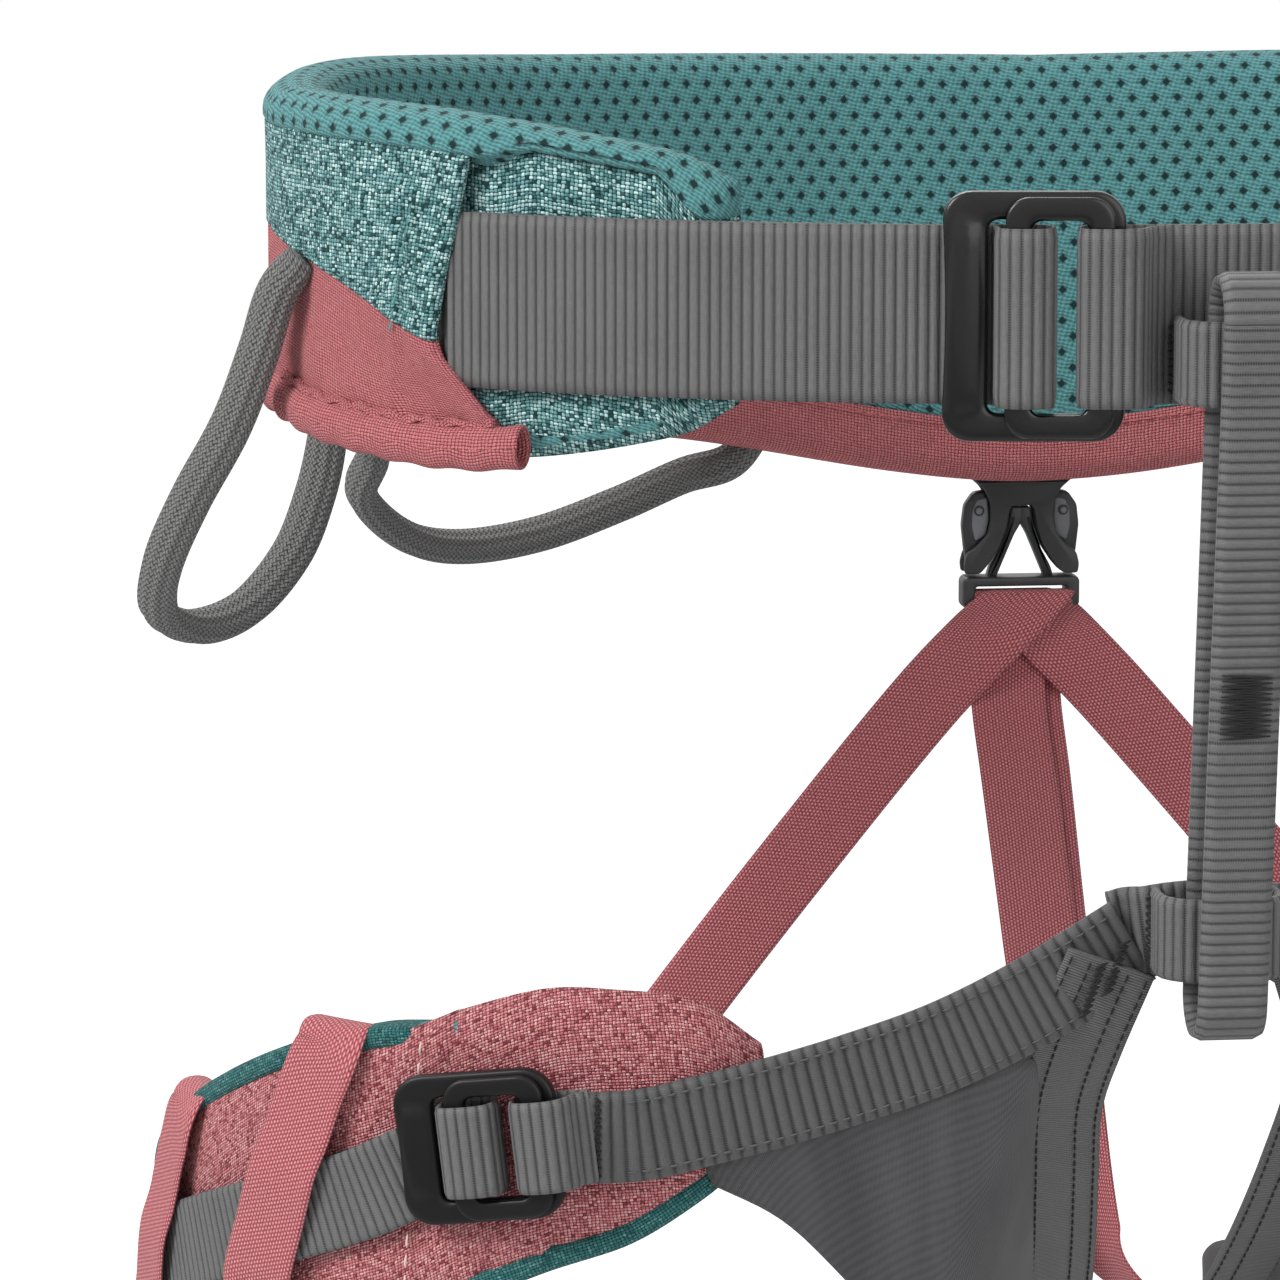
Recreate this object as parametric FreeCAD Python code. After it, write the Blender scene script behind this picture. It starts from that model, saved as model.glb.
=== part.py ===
import FreeCAD, Part
import math
import os

# Climbing harness with a padded waist belt, two leg loops, slide-block buckles, gear loops,
# a belay loop and elastic rear risers on a side-release buckle.
# Millimetres. +Z up, the wearer faces -Y, +X is towards the wearer's left hand.
# The origin is the middle of the waist opening, level with the middle of the waist webbing.

Vector = FreeCAD.Vector
UP = Vector(0, 0, 1)

# ---- driving dimensions -------------------------------------------------------------------
WAIST_WEBBING = 38.0        # webbing widths are trade sizes
LEG_WEBBING = 20.0
ELASTIC = 20.0
TIE_IN_WEBBING = 18.0
BELAY_WEBBING = 15.0
STRAP_THICKNESS = 1.4
GAP = 0.3                   # air left between neighbouring layers

BELT_A = 181.7              # waist ellipse at the body side, half width
BELT_B = 109.7              # and half depth
LINING = 3.0
FOAM = 6.0
CLOTH = 1.2

LEG_X = -121.0              # middle of the left leg loop
LEG_Y = -2.0
LEG_R = 94.4                # its inner radius
LEG_LINING = 2.5
LEG_FOAM = 4.5

# Layers of the belt, as distances out from the waist ellipse
FOAM_IN = LINING + GAP
FACE_IN = FOAM_IN + FOAM + GAP
TAIL_MID = 11.4
MAIN_MID = 13.1
SHELL_IN = MAIN_MID + STRAP_THICKNESS / 2 + GAP
SHELL_OUT = SHELL_IN + CLOTH

# Heights round the belt: (degrees from the front, height)
BELT_TOP = [(33, 26), (37, 32), (44, 36), (60, 41), (90, 43), (112, 45.5), (140, 43.5), (180, 41)]
BELT_BOTTOM = [(33, -19), (38, -27), (54, -34), (72, -32), (90, -28), (110, -36),
               (125, -42), (150, -51), (180, -65), (210, -51)]
LINING_LIFT = [(33, 0), (60, 0), (84, 0), (90, 16.5), (96, 16.5), (180, 16.5)]
LIP_DROP = [(33, 4.5), (37, 10.5), (44, 11.5), (180, 11.5)]     # roll of the lining over the rim
COLOUR_SEAM = [(54, -9), (82, 9), (110, 13), (150, 0), (180, -12), (210, 0), (250, 13)]
TONGUE_TIP = 33.5
POCKET_MOUTH = 54.0
HEM_FRONT = 50.0
PANEL_SPLIT = 90.0
HEM_HEIGHT = 10.0
BINDING_HEIGHT = 16.0

# Heights round the left leg pad: (degrees from the front, towards the outside)
LEG_TOP = [(-13, -160), (-5, -150), (5, -147), (14, -147), (28, -154.5), (49, -165), (76, -188),
           (110, -224), (150, -255), (180, -264), (215, -262)]
LEG_HEIGHT = [(-13, 22), (-5, 43), (5, 56), (20, 63), (90, 66), (180, 68), (215, 58)]
LEG_WEB_Z = [(28, -186), (38, -195), (68, -215), (90, -230), (135, -272), (180, -297),
             (215, -292), (232, -290)]

WAIST_BUCKLE_ANGLE = 13.0
LEG_BUCKLE_ANGLE = 20.6
LEG_BUCKLE_Z = -180.0
LEG_BUCKLE_TILT = 7.0
LEG_HINGE_Y = -105.0
LEG_HINGE_Z = -135.0
BRIDGE_HALF = 16.0

REAR_BUCKLE_Y = 130.5
GEAR_LOOP_RADIUS = 4.3


# ---- small tools --------------------------------------------------------------------------
def profile(points, x):
    """Smooth curve through (x, value) points, flat beyond the two ends."""
    if x <= points[0][0]:
        return points[0][1]
    if x >= points[-1][0]:
        return points[-1][1]
    last = len(points) - 1
    i = max(k for k in range(last) if points[k][0] <= x)

    def slope(k):
        a, b = points[max(k - 1, 0)], points[min(k + 1, last)]
        return (b[1] - a[1]) / (b[0] - a[0])

    (x0, y0), (x1, y1) = points[i], points[i + 1]
    h = x1 - x0
    s = (x - x0) / h
    return (y0 * (1 + 2 * s) * (1 - s) ** 2 + y1 * s * s * (3 - 2 * s)
            + h * slope(i) * s * (1 - s) ** 2 + h * slope(i + 1) * s * s * (s - 1))


def spread(start, end, step):
    """Evenly spaced values from start to end, about step apart."""
    count = max(2, int(round(abs(end - start) / step)))
    return [start + (end - start) * k / count for k in range(count + 1)]


def curve(points):
    spline = Part.BSplineCurve()
    spline.interpolate(Points=points)
    return spline


def sweep(sections):
    """Solid through a row of flat outlines that all have the same number of corners."""
    wires = [Part.makePolygon(corners + [corners[0]]) for corners in sections]
    return outward(Part.makeLoft(wires, True, False))


def outward(solid):
    if solid.Volume < 0:
        solid.reverse()
    return solid


def strap(stations, thickness):
    """Flat webbing: stations are (middle, direction across the width, width)."""
    sections = []
    last = len(stations) - 1
    for i, (middle, across, width) in enumerate(stations):
        along = stations[min(i + 1, last)][0] - stations[max(i - 1, 0)][0]
        across = Vector(across).normalize()
        normal = along.cross(across).normalize() * (thickness / 2)
        half = across * (width / 2)
        sections.append([middle - half - normal, middle + half - normal,
                         middle + half + normal, middle - half + normal])
    return sweep(sections)


def band(path, thickness, width):
    """Webbing of even width whose edge follows a curve in plan, centred on the path's height."""
    middle = curve(path)
    first, final = middle.FirstParameter, middle.LastParameter
    count = 8 * len(path)
    inner, outer = [], []
    for k in range(count + 1):
        u = first + (final - first) * k / count
        point, tangent = middle.value(u), middle.tangent(u)[0]
        side = tangent.cross(UP).normalize() * (thickness / 2)
        inner.append(point - side)
        outer.append(point + side)
    edges = [curve(inner).toShape(), Part.makeLine(inner[-1], outer[-1]),
             curve(outer).toShape(), Part.makeLine(outer[0], inner[0])]
    face = Part.Face(Part.Wire(Part.__sortEdges__(edges)))
    face.translate(Vector(0, 0, -width / 2))
    return outward(face.extrude(Vector(0, 0, width)))


def tube(points, radius, sides=8, count=18):
    """Round bar along a smooth curve in space."""
    middle = curve(points)
    first, final = middle.FirstParameter, middle.LastParameter
    sections = []
    side = None
    for k in range(count + 1):
        u = first + (final - first) * k / count
        point, tangent = middle.value(u), middle.tangent(u)[0]
        if side is None:
            side = tangent.cross(UP).normalize()
        side = (side - tangent * side.dot(tangent)).normalize()
        other = tangent.cross(side)
        angles = [2 * math.pi * n / sides for n in range(sides)]
        sections.append([point + (side * math.cos(a) + other * math.sin(a)) * radius for a in angles])
    return sweep(sections)


def plate(outline, y0, y1):
    """Flat part cut to an outline of (x, z) corners, from depth y0 to depth y1."""
    corners = [Vector(x, y0, z) for x, z in outline]
    face = Part.Face(Part.makePolygon(corners + [corners[0]]))
    return outward(face.extrude(Vector(0, y1 - y0, 0)))


def chamfered(x0, x1, z_half, cut_left, cut_right):
    """Outline of a rectangle with its four corners cut off."""
    return [(x0 + cut_left, -z_half), (x1 - cut_right, -z_half), (x1, -z_half + cut_right),
            (x1, z_half - cut_right), (x1 - cut_right, z_half), (x0 + cut_left, z_half),
            (x0, z_half - cut_left), (x0, -z_half + cut_left)]


def mirrored(shape):
    return outward(shape.mirror(Vector(0, 0, 0), Vector(1, 0, 0)))


# ---- waist belt ---------------------------------------------------------------------------
def folded(t):
    return t if t <= 180 else 360 - t


def belt_point(t, out, z=0.0):
    """Point on the belt, t degrees round from the front and a distance out from the body."""
    a = math.radians(t)
    base = Vector(-BELT_A * math.sin(a), -BELT_B * math.cos(a), z)
    normal = Vector(base.x / BELT_A ** 2, base.y / BELT_B ** 2, 0).normalize()
    return base + normal * out


def belt_sweep(start, end, outline, step=6):
    """Sweep an outline of (distance out, height) corners round the belt."""
    sections = []
    for t in spread(start, end, step):
        sections.append([belt_point(t, out, z) for out, z in outline(folded(t))])
    return sweep(sections)


def lining_outline(t):
    low = profile(BELT_BOTTOM, t) + profile(LINING_LIFT, t)
    top = profile(BELT_TOP, t)
    lip_out = FACE_IN + LINING
    lip_end = top - profile(LIP_DROP, t)
    return [(0, low), (0, top), (lip_out, top), (lip_out, lip_end),
            (FACE_IN, lip_end), (FACE_IN, top - LINING), (LINING, top - LINING), (LINING, low)]


def block_outline(inner, outer, low, top):
    return lambda t: [(inner, low(t)), (outer, low(t)), (outer, top(t)), (inner, top(t))]


def top_less(drop):
    return lambda t: profile(BELT_TOP, t) - drop


def below_lip(t):
    return profile(BELT_TOP, t) - profile(LIP_DROP, t) - 0.5


def bottom_plus(lift):
    return lambda t: profile(BELT_BOTTOM, t) + lift


def seam_plus(lift):
    return lambda t: profile(COLOUR_SEAM, t) + lift


def lower_panel_outline(t):
    low = profile(BELT_BOTTOM, t)
    seam = profile(COLOUR_SEAM, t) - GAP
    return [(SHELL_OUT, seam), (SHELL_OUT, low), (0, low), (0, low + BINDING_HEIGHT),
            (CLOTH, low + BINDING_HEIGHT), (CLOTH, low + CLOTH), (SHELL_IN, low + CLOTH), (SHELL_IN, seam)]


def hem_outline(t):
    low = profile(BELT_BOTTOM, t) - 3
    high = low + HEM_HEIGHT
    inner, outer = FACE_IN + 1.4, SHELL_OUT + 2.2
    corner = 2.5
    return [(inner, low + corner), (inner + corner, low), (outer - corner, low), (outer, low + corner),
            (outer, high - corner), (outer - corner, high), (inner + corner, high), (inner, high - corner)]


def belt_nodes():
    full = (TONGUE_TIP, 360 - TONGUE_TIP)
    nodes = {
        "waist_lining": belt_sweep(*full, lining_outline, step=4),
        "waist_foam": belt_sweep(TONGUE_TIP + 1.5, 360 - TONGUE_TIP - 1.5, block_outline(
            FOAM_IN, FOAM_IN + FOAM, bottom_plus(1.6), top_less(LINING + GAP)), step=4),
        "waist_webbing": belt_sweep(62, 298, block_outline(
            MAIN_MID - STRAP_THICKNESS / 2, MAIN_MID + STRAP_THICKNESS / 2,
            lambda t: -WAIST_WEBBING / 2, lambda t: WAIST_WEBBING / 2)),
        "waist_outer_shell": belt_sweep(POCKET_MOUTH, 360 - POCKET_MOUTH, block_outline(
            SHELL_IN, SHELL_OUT, seam_plus(0), below_lip)),
        "waist_lower_panel": belt_sweep(PANEL_SPLIT, 360 - PANEL_SPLIT, lower_panel_outline, step=5),
    }
    left = {
        "tongue_face": belt_sweep(TONGUE_TIP, 80, block_outline(
            FACE_IN, FACE_IN + 0.8, bottom_plus(0), below_lip), step=4),
        "pocket_panel": belt_sweep(POCKET_MOUTH, PANEL_SPLIT - 0.5, block_outline(
            SHELL_IN, SHELL_OUT, bottom_plus(HEM_HEIGHT - 3 + GAP), seam_plus(-GAP))),
        "pocket_hem": belt_sweep(HEM_FRONT, PANEL_SPLIT - 0.5, hem_outline),
    }
    for name, shape in left.items():
        nodes[name + "_left"] = shape
        nodes[name + "_right"] = mirrored(shape)
    return nodes


# ---- slide-block buckles ------------------------------------------------------------------
def slide_block(near, frame, slider):
    """Frame and sliding bar of a buckle that faces -Y. Each is (x0, x1, half height, left bar,
    right bar, rail, thickness), and near is the distance of the frame's back from y = 0."""
    parts = []
    back = near
    for index, (x0, x1, z_half, left_bar, right_bar, rail, thick) in enumerate((frame, slider)):
        cut = (6.0, 3.0) if index == 0 else (3.0, 3.0)
        scale = z_half / 26.5
        outer = plate(chamfered(x0, x1, z_half, cut[0] * scale, cut[1] * scale), -back, -back - thick)
        window = plate(chamfered(x0 + left_bar, x1 - right_bar, z_half - rail, 1.2, 1.2),
                       -back + 1, -back - thick - 1)
        body = outer.cut(window)
        front = [e for e in body.Edges if abs(e.BoundBox.YMin + back + thick) < 0.01
                 and abs(e.BoundBox.YMax + back + thick) < 0.01]
        parts.append(outward(body.makeChamfer(0.7, front).Solids[0]))
        back += thick + GAP
    return parts


def placed(shape, origin, right, tilt=0.0):
    """Put a shape drawn facing -Y at origin, with its +X along right, tilted in its own plane."""
    turn = FreeCAD.Rotation(Vector(1, 0, 0), right)
    lean = FreeCAD.Rotation(Vector(0, 1, 0), -tilt)
    moved = shape.copy()
    moved.Placement = FreeCAD.Placement(origin, turn.multiply(lean))
    return moved


WAIST_FRAME = (-20.0, 19.0, 26.5, 10.0, 6.0, 6.0, 4.0)
WAIST_SLIDER = (-6.5, 16.5, 25.5, 5.5, 5.5, 5.0, 3.0)
LEG_FRAME = (-18.5, 18.0, 16.5, 9.0, 5.5, 5.0, 3.5)
LEG_SLIDER = (-6.0, 16.0, 15.5, 4.5, 5.0, 4.0, 2.5)


def waist_local(x, out):
    """Point in plan at the left waist buckle: x along the belt, out from the body."""
    origin = belt_point(WAIST_BUCKLE_ANGLE, 0)
    normal = (belt_point(WAIST_BUCKLE_ANGLE, 1) - origin).normalize()
    along = Vector(-normal.y, normal.x, 0)
    return origin + along * x + normal * out, along


def waist_strap():
    """The adjusting end: in from the pocket, over the sliding bar and back beneath itself."""
    path = [belt_point(t, TAIL_MID) for t in spread(72, 17, 5)]
    path += [waist_local(x, out)[0] for x, out in (
        (-4, 11.3), (0.7, 11.5), (3.4, 13.6), (3.9, 17.2), (3.4, 21.0), (0.6, 22.9),
        (-4.4, 22.9), (-7.5, 21.2), (-8.1, 17.6), (-8.3, 15.4), (-9.7, 13.5))]
    path += [belt_point(t, MAIN_MID + 0.1) for t in spread(17.4, 61, 5)]
    return band(path, STRAP_THICKNESS, WAIST_WEBBING)


def centre_webbing():
    """Double webbing between the two waist buckles, with an eye round each fixed bar."""
    eye = [waist_local(x, out)[0] for x, out in (
        (20, 11.5), (14.2, 11.8), (10.5, 13.2), (9.5, 16.2), (9.4, 20.0), (11.0, 22.6),
        (15.2, 23.1), (19.2, 22.9), (22.2, 21.0), (23.7, 17.6), (25.4, 14.8))]
    back = [belt_point(t, TAIL_MID) for t in (0.2, 1.2, 2.6, 4.4)]
    front = [belt_point(t, MAIN_MID) for t in (4.2, 2.8, 1.4, 0)]
    left = back + eye + front
    right = [Vector(-p.x, p.y, p.z) for p in reversed(left[:-1])]
    return band(left + right, STRAP_THICKNESS, WAIST_WEBBING)


def waist_buckle_nodes():
    frame, slider = slide_block(SHELL_IN + 0.1, WAIST_FRAME, WAIST_SLIDER)
    origin, right = waist_local(0, 0)
    left = {
        "waist_strap": waist_strap(),
        "waist_buckle_frame": placed(frame, origin, right),
        "waist_buckle_slider": placed(slider, origin, right),
    }
    nodes = {"centre_webbing": centre_webbing()}
    for name, shape in left.items():
        nodes[name + "_left"] = shape
        nodes[name + "_right"] = mirrored(shape)
    return nodes


# ---- tie-in points and belay loop ---------------------------------------------------------
def tie_in_loop(face_y, z):
    """Webbing loop that stands out from a face at face_y, open from top to bottom."""
    half = [(-12.6, -2 * GAP), (-13.0, -6), (-12.4, -11.5), (-8.4, -15.8), (0, -17)]
    path = [Vector(x, face_y + y, z) for x, y in half]
    path += [Vector(-x, face_y + y, z) for x, y in reversed(half[:-1])]
    return band(path, 2.6, TIE_IN_WEBBING)


def belay_loop():
    """Flat webbing ring that links the two tie-in loops, leaning with the line between them."""
    top = Vector(0, belt_point(0, SHELL_IN).y - 15.2, 1.0)
    bottom = Vector(0, LEG_HINGE_Y - 15.2 - 1.0, LEG_HINGE_Z - TIE_IN_WEBBING / 2 - 3.5)
    length = (top - bottom).Length
    rings = []
    for radius in (9.6, 6.2):
        edges = [Part.makeLine(Vector(0, -radius, 0), Vector(0, -radius, -length)),
                 Part.Arc(Vector(0, -radius, -length), Vector(0, 0, -length - radius),
                          Vector(0, radius, -length)).toShape(),
                 Part.makeLine(Vector(0, radius, -length), Vector(0, radius, 0)),
                 Part.Arc(Vector(0, radius, 0), Vector(0, 0, radius), Vector(0, -radius, 0)).toShape()]
        rings.append(Part.Face(Part.Wire(edges)))
    ring = rings[0].cut(rings[1]).extrude(Vector(BELAY_WEBBING, 0, 0))
    ring.translate(Vector(-BELAY_WEBBING / 2, 0, 0))
    lean = FreeCAD.Rotation(Vector(0, 0, -1), bottom - top)
    ring.Placement = FreeCAD.Placement(top, lean).multiply(ring.Placement)
    return outward(ring.Solids[0])


def tie_in_nodes():
    bridge = [Vector(x, LEG_HINGE_Y, LEG_HINGE_Z - 0.006 * x * x)
              for x in spread(-BRIDGE_HALF, BRIDGE_HALF, 8)]
    return {
        "upper_tie_in_loop": tie_in_loop(belt_point(0, SHELL_IN).y, -9.0),
        "lower_tie_in_loop": tie_in_loop(LEG_HINGE_Y - STRAP_THICKNESS - GAP, LEG_HINGE_Z),
        "leg_bridge": strap([(p, UP, LEG_WEBBING) for p in bridge], 2 * STRAP_THICKNESS),
        "belay_loop": belay_loop(),
    }


# ---- gear loops ---------------------------------------------------------------------------
FRONT_GEAR_LOOP = [(-197, -30, -2), (-201, -28, -15), (-207, -23, -32), (-216, -15, -50),
                   (-222, -6, -66), (-222, 4, -78), (-213, 14, -83), (-201, 24, -80),
                   (-190, 33, -69), (-184, 39, -56), (-181, 41, -43.5)]
REAR_GEAR_LOOP = [(-168.5, 58, -48), (-171, 66, -59), (-160, 79, -71), (-145, 93, -76),
                  (-124, 107, -75), (-103, 116, -69), (-87, 118, -62.5), (-76, 113, -58.5)]


def gear_loop_nodes():
    nodes = {}
    for name, route in (("gear_loop_front", FRONT_GEAR_LOOP), ("gear_loop_rear", REAR_GEAR_LOOP)):
        shape = tube([Vector(*p) for p in route], GEAR_LOOP_RADIUS)
        nodes[name + "_left"] = shape
        nodes[name + "_right"] = mirrored(shape)
    return nodes


# ---- rear buckle and risers ---------------------------------------------------------------
def both_sides(outline):
    return outline + [(-x, z) for x, z in reversed(outline)]


def rear_buckle_nodes():
    """Side-release buckle behind the belt: the female part pulls up off the male part."""
    y = REAR_BUCKLE_Y
    skin, half = 1.7, 4.0
    face = both_sides([(-13, -57), (-14, -61), (-7.5, -69), (-14.5, -84), (-13.2, -88), (-9.2, -88),
                       (-3.2, -78)])
    slot = plate(both_sides([(-10.5, -59.6), (-10.5, -61.8)]), y - half - 1, y + half + 1)
    core = half - skin - GAP / 2
    middle = plate(both_sides([(-13, -57), (-14, -61), (-10, -65.6)]), y - core, y + core)
    middle = middle.fuse(plate(both_sides([(-3, -65), (-3, -76)]), y - core, y + core)).removeSplitter()
    female = [plate(face, y - half, y - half + skin), middle, plate(face, y + half - skin, y + half)]
    female = Part.makeCompound([outward(layer.cut(slot).Solids[0]) for layer in female])
    base = plate(both_sides([(-13.5, -90.2), (-15, -92.5), (-15, -96.5), (-13.5, -98.5)]),
                 y - half, y + half)
    bar = plate(both_sides([(-11.5, -93.2), (-11.5, -96.2)]), y - half - 1, y + half + 1)
    male = base.cut(bar).fuse(plate(both_sides([(-1.2, -77.2), (-1.6, -90.5)]), y - 1.6, y + 1.6))
    prong = plate([(-14.0, -89.6), (-9.6, -89.6), (-10.2, -80), (-8.4, -69.5), (-11.5, -67.2),
                   (-15.4, -71), (-15.4, -80)], y - 1.7, y + 1.7)
    tab_path = [Vector(0, SHELL_OUT + BELT_B + 0.4 + STRAP_THICKNESS / 2, -28),
                Vector(0, SHELL_OUT + BELT_B + 0.5 + STRAP_THICKNESS / 2, -44),
                Vector(0, SHELL_OUT + BELT_B + 1.6 + STRAP_THICKNESS / 2, -56.4)]
    return {
        "rear_buckle_tab": strap([(p, Vector(1, 0, 0), ELASTIC) for p in tab_path], STRAP_THICKNESS),
        "rear_buckle_female": female,
        "rear_buckle_male": outward(male.removeSplitter().Solids[0]),
        "rear_prong_left": prong,
        "rear_prong_right": mirrored(prong),
    }


OUTER_RISER = [(-3, 126.9, -99.4), (-24, 126, -121), (-56, 120.5, -158), (-83, 114, -190),
               (-112, 107.5, -226), (-134, 104.5, -254)]
INNER_RISER = {      # real places of the left and the right strand; the right one hides behind the left
    -1: [(-2, 130.5, -99.4), (-2.5, 130.2, -111), (-3, 127.5, -122), (-3.2, 110, -140),
         (-4, 75, -174), (-5.5, 42, -211), (-10.5, 18, -238), (-13.5, 6, -252)],
    1: [(2, 133.6, -99.4), (2, 133.3, -111), (1.5, 130.6, -122), (1, 113.2, -140),
        (0.5, 78.2, -174), (0.5, 45.2, -211), (4.5, 21, -238), (13.5, 9, -252)]}
INNER_RISER_TURN = (0, 0, 0, 0, 0, 0, 35, 75)     # degrees the strand has twisted by each point


def riser(side):
    """Elastic of one leg: an outer strand to the back of the loop and an inner one to the thigh.
    side is -1 for the left strands and +1 for the right ones, which lie a little further back."""
    outer_back = 0.0 if side < 0 else 1.8
    outer = [Vector(-side * x, y + outer_back, z) for x, y, z in OUTER_RISER]
    inner = [Vector(*p) for p in INNER_RISER[side]]
    stations = []
    for i, p in enumerate(outer):
        along = outer[min(i + 1, len(outer) - 1)] - outer[max(i - 1, 0)]
        stations.append((p, Vector(0, 1, 0).cross(along), ELASTIC * 0.9))
    strands = [strap(stations, CLOTH)]
    stations = []
    for p, turn in zip(inner, INNER_RISER_TURN):
        a = math.radians(turn)
        stations.append((p, Vector(math.cos(a), -side * math.sin(a), 0), ELASTIC * 0.9))
    strands.append(strap(stations, CLOTH))
    return Part.makeCompound(strands)


# ---- leg loops ----------------------------------------------------------------------------
def leg_point(angle, out, z=0.0):
    """Point round the left leg loop, in degrees from its front towards the outside."""
    a = math.radians(angle)
    reach = LEG_R + out
    return Vector(LEG_X - reach * math.sin(a), LEG_Y - reach * math.cos(a), z)


def leg_sweep(start, end, outline, step=7):
    sections = []
    for angle in spread(start, end, step):
        sections.append([leg_point(angle, out, z) for out, z in outline(angle)])
    return sweep(sections)


def leg_block(inner, outer, inset):
    def outline(angle):
        top = profile(LEG_TOP, angle)
        low = top - profile(LEG_HEIGHT, angle)
        return [(inner, low + inset), (outer, low + inset), (outer, top - inset), (inner, top - inset)]
    return outline


LEG_COVER_IN = LEG_LINING + GAP + LEG_FOAM + GAP
LEG_COVER_OUT = LEG_COVER_IN + CLOTH


def leg_lining_outline(angle):
    top = profile(LEG_TOP, angle)
    low = top - profile(LEG_HEIGHT, angle)
    edge = LEG_LINING
    return [(0, low), (LEG_COVER_OUT, low), (LEG_COVER_OUT, low + edge), (edge, low + edge),
            (edge, top - edge), (LEG_COVER_OUT, top - edge), (LEG_COVER_OUT, top), (0, top)]


LEG_TAIL_MID = LEG_COVER_OUT + 3 * GAP + STRAP_THICKNESS / 2
LEG_MAIN_MID = LEG_TAIL_MID + STRAP_THICKNESS + GAP


def leg_local_arc(out, x):
    """Depth at x of the webbing layer that lies out from the leg ring, at the leg buckle."""
    return -(math.sqrt((LEG_R + out) ** 2 - x * x) - LEG_R)


def leg_strap_and_eye():
    """Webbing through the leg buckle, drawn facing -Y round its middle."""
    tail = [(x, leg_local_arc(LEG_TAIL_MID, x)) for x in (-31, -24, -17, -10)]
    lift = LEG_MAIN_MID
    wrap = [(-3, -LEG_TAIL_MID), (2.2, -LEG_TAIL_MID - 0.3), (4.4, -lift - 1.6), (4.6, -lift - 5),
            (3.6, -lift - 8), (0.6, -lift - 9.2), (-3.6, -lift - 9.2), (-6.8, -lift - 8),
            (-7.6, -lift - 5), (-7.8, -lift - 2.2), (-9.2, -lift - 0.2), (-13, -lift + 0.7)]
    main = [(x, leg_local_arc(LEG_MAIN_MID, x)) for x in (-18, -24, -30)]
    strap_path = [Vector(x, y, 0) for x, y in tail + wrap + main]
    eye = [(24.5, -lift + 1.3), (17, -lift + 1.5), (12, -lift + 1.0), (9.3, -lift - 1.2),
           (8.9, -lift - 5), (9.6, -lift - 8.2), (12.4, -lift - 9.6), (17.4, -lift - 9.4),
           (20.4, -lift - 7.0), (21.9, -lift - 3.2), (24.5, -lift - 0.5)]
    eye_path = [Vector(x, y, 0) for x, y in eye]
    return (band(strap_path, STRAP_THICKNESS, LEG_WEBBING),
            band(eye_path, STRAP_THICKNESS, LEG_WEBBING))


FRONT_WEBBING = [(-125.5, -110.0, -177.2), (-112, -109.5, -174.6), (-96, -108.2, -171.2),
                 (-78, -107.0, -166.5), (-58, -106.0, -160), (-38, -105.4, -150.5), (-17, -105, -138)]
INNER_STRIP = [(-24, -102.6, -151), (-29, -98, -163), (-30, -88, -178), (-28, -74, -197),
               (-25, -56, -218), (-22, -34, -237), (-19, -6, -253), (-21, 20, -264), (-29, 44, -273),
               (-42, 65, -281), (-60.8, 84.4, -287), (-76.5, 93.6, -289)]
PANEL_EDGES = [((-111, -106.0, -185), (-109.5, -105.8, -189)), ((-95, -105.3, -181.5), (-93, -102.6, -199)),
               ((-75, -102.6, -176.5), (-74, -94, -219)), ((-54, -101.6, -170), (-54, -80, -241)),
               ((-38, -99.0, -165), (-38, -58, -258)), ((-32, -78, -188), (-28, -34, -266)),
               ((-26, -48, -217), (-23.5, -5, -272)), ((-22, -12, -229), (-25, 22, -282)),
               ((-27, 22, -243), (-35, 48, -293)), ((-42, 53, -256), (-51, 68, -305)),
               ((-56, 70, -262), (-60, 76, -312))]


def inner_panel():
    """Stretch cloth between the front webbing, the pad's two ends and the inner thigh."""
    sections = []
    middle = Vector(LEG_X, LEG_Y, 0)
    for top, low in PANEL_EDGES:
        top, low = Vector(*top), Vector(*low)
        outward_way = (top + low) * 0.5 - middle
        outward_way.z = 0
        side = (top - low).cross(outward_way.cross(UP)).normalize() * 0.5
        sections.append([top - side, low - side, low + side, top + side])
    return sweep(sections)


def inner_strip():
    points = [Vector(*p) for p in INNER_STRIP]
    middle = Vector(LEG_X, LEG_Y, 0)
    stations = []
    for i, p in enumerate(points):
        along = points[min(i + 1, len(points) - 1)] - points[max(i - 1, 0)]
        outward_way = Vector(p.x - middle.x, p.y - middle.y, 0)
        stations.append((p, outward_way.cross(along), LEG_WEBBING))
    return strap(stations, STRAP_THICKNESS)


def keeper(top_angle, low_angle, out):
    """Elastic band that holds the webbing against the pad, from its top edge to its lower edge."""
    stations = []
    for share in spread(0, 1, 0.17):
        angle = top_angle + (low_angle - top_angle) * share
        top = profile(LEG_TOP, angle) - 1
        low = top - profile(LEG_HEIGHT, angle) + 2
        bulge = out + 1.2 * math.sin(math.pi * share)
        point = leg_point(angle, bulge, top + (low - top) * share)
        tangent = leg_point(angle + 1, bulge) - leg_point(angle - 1, bulge)
        stations.append((point, tangent, ELASTIC * 0.95))
    return strap(stations, CLOTH)


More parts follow.
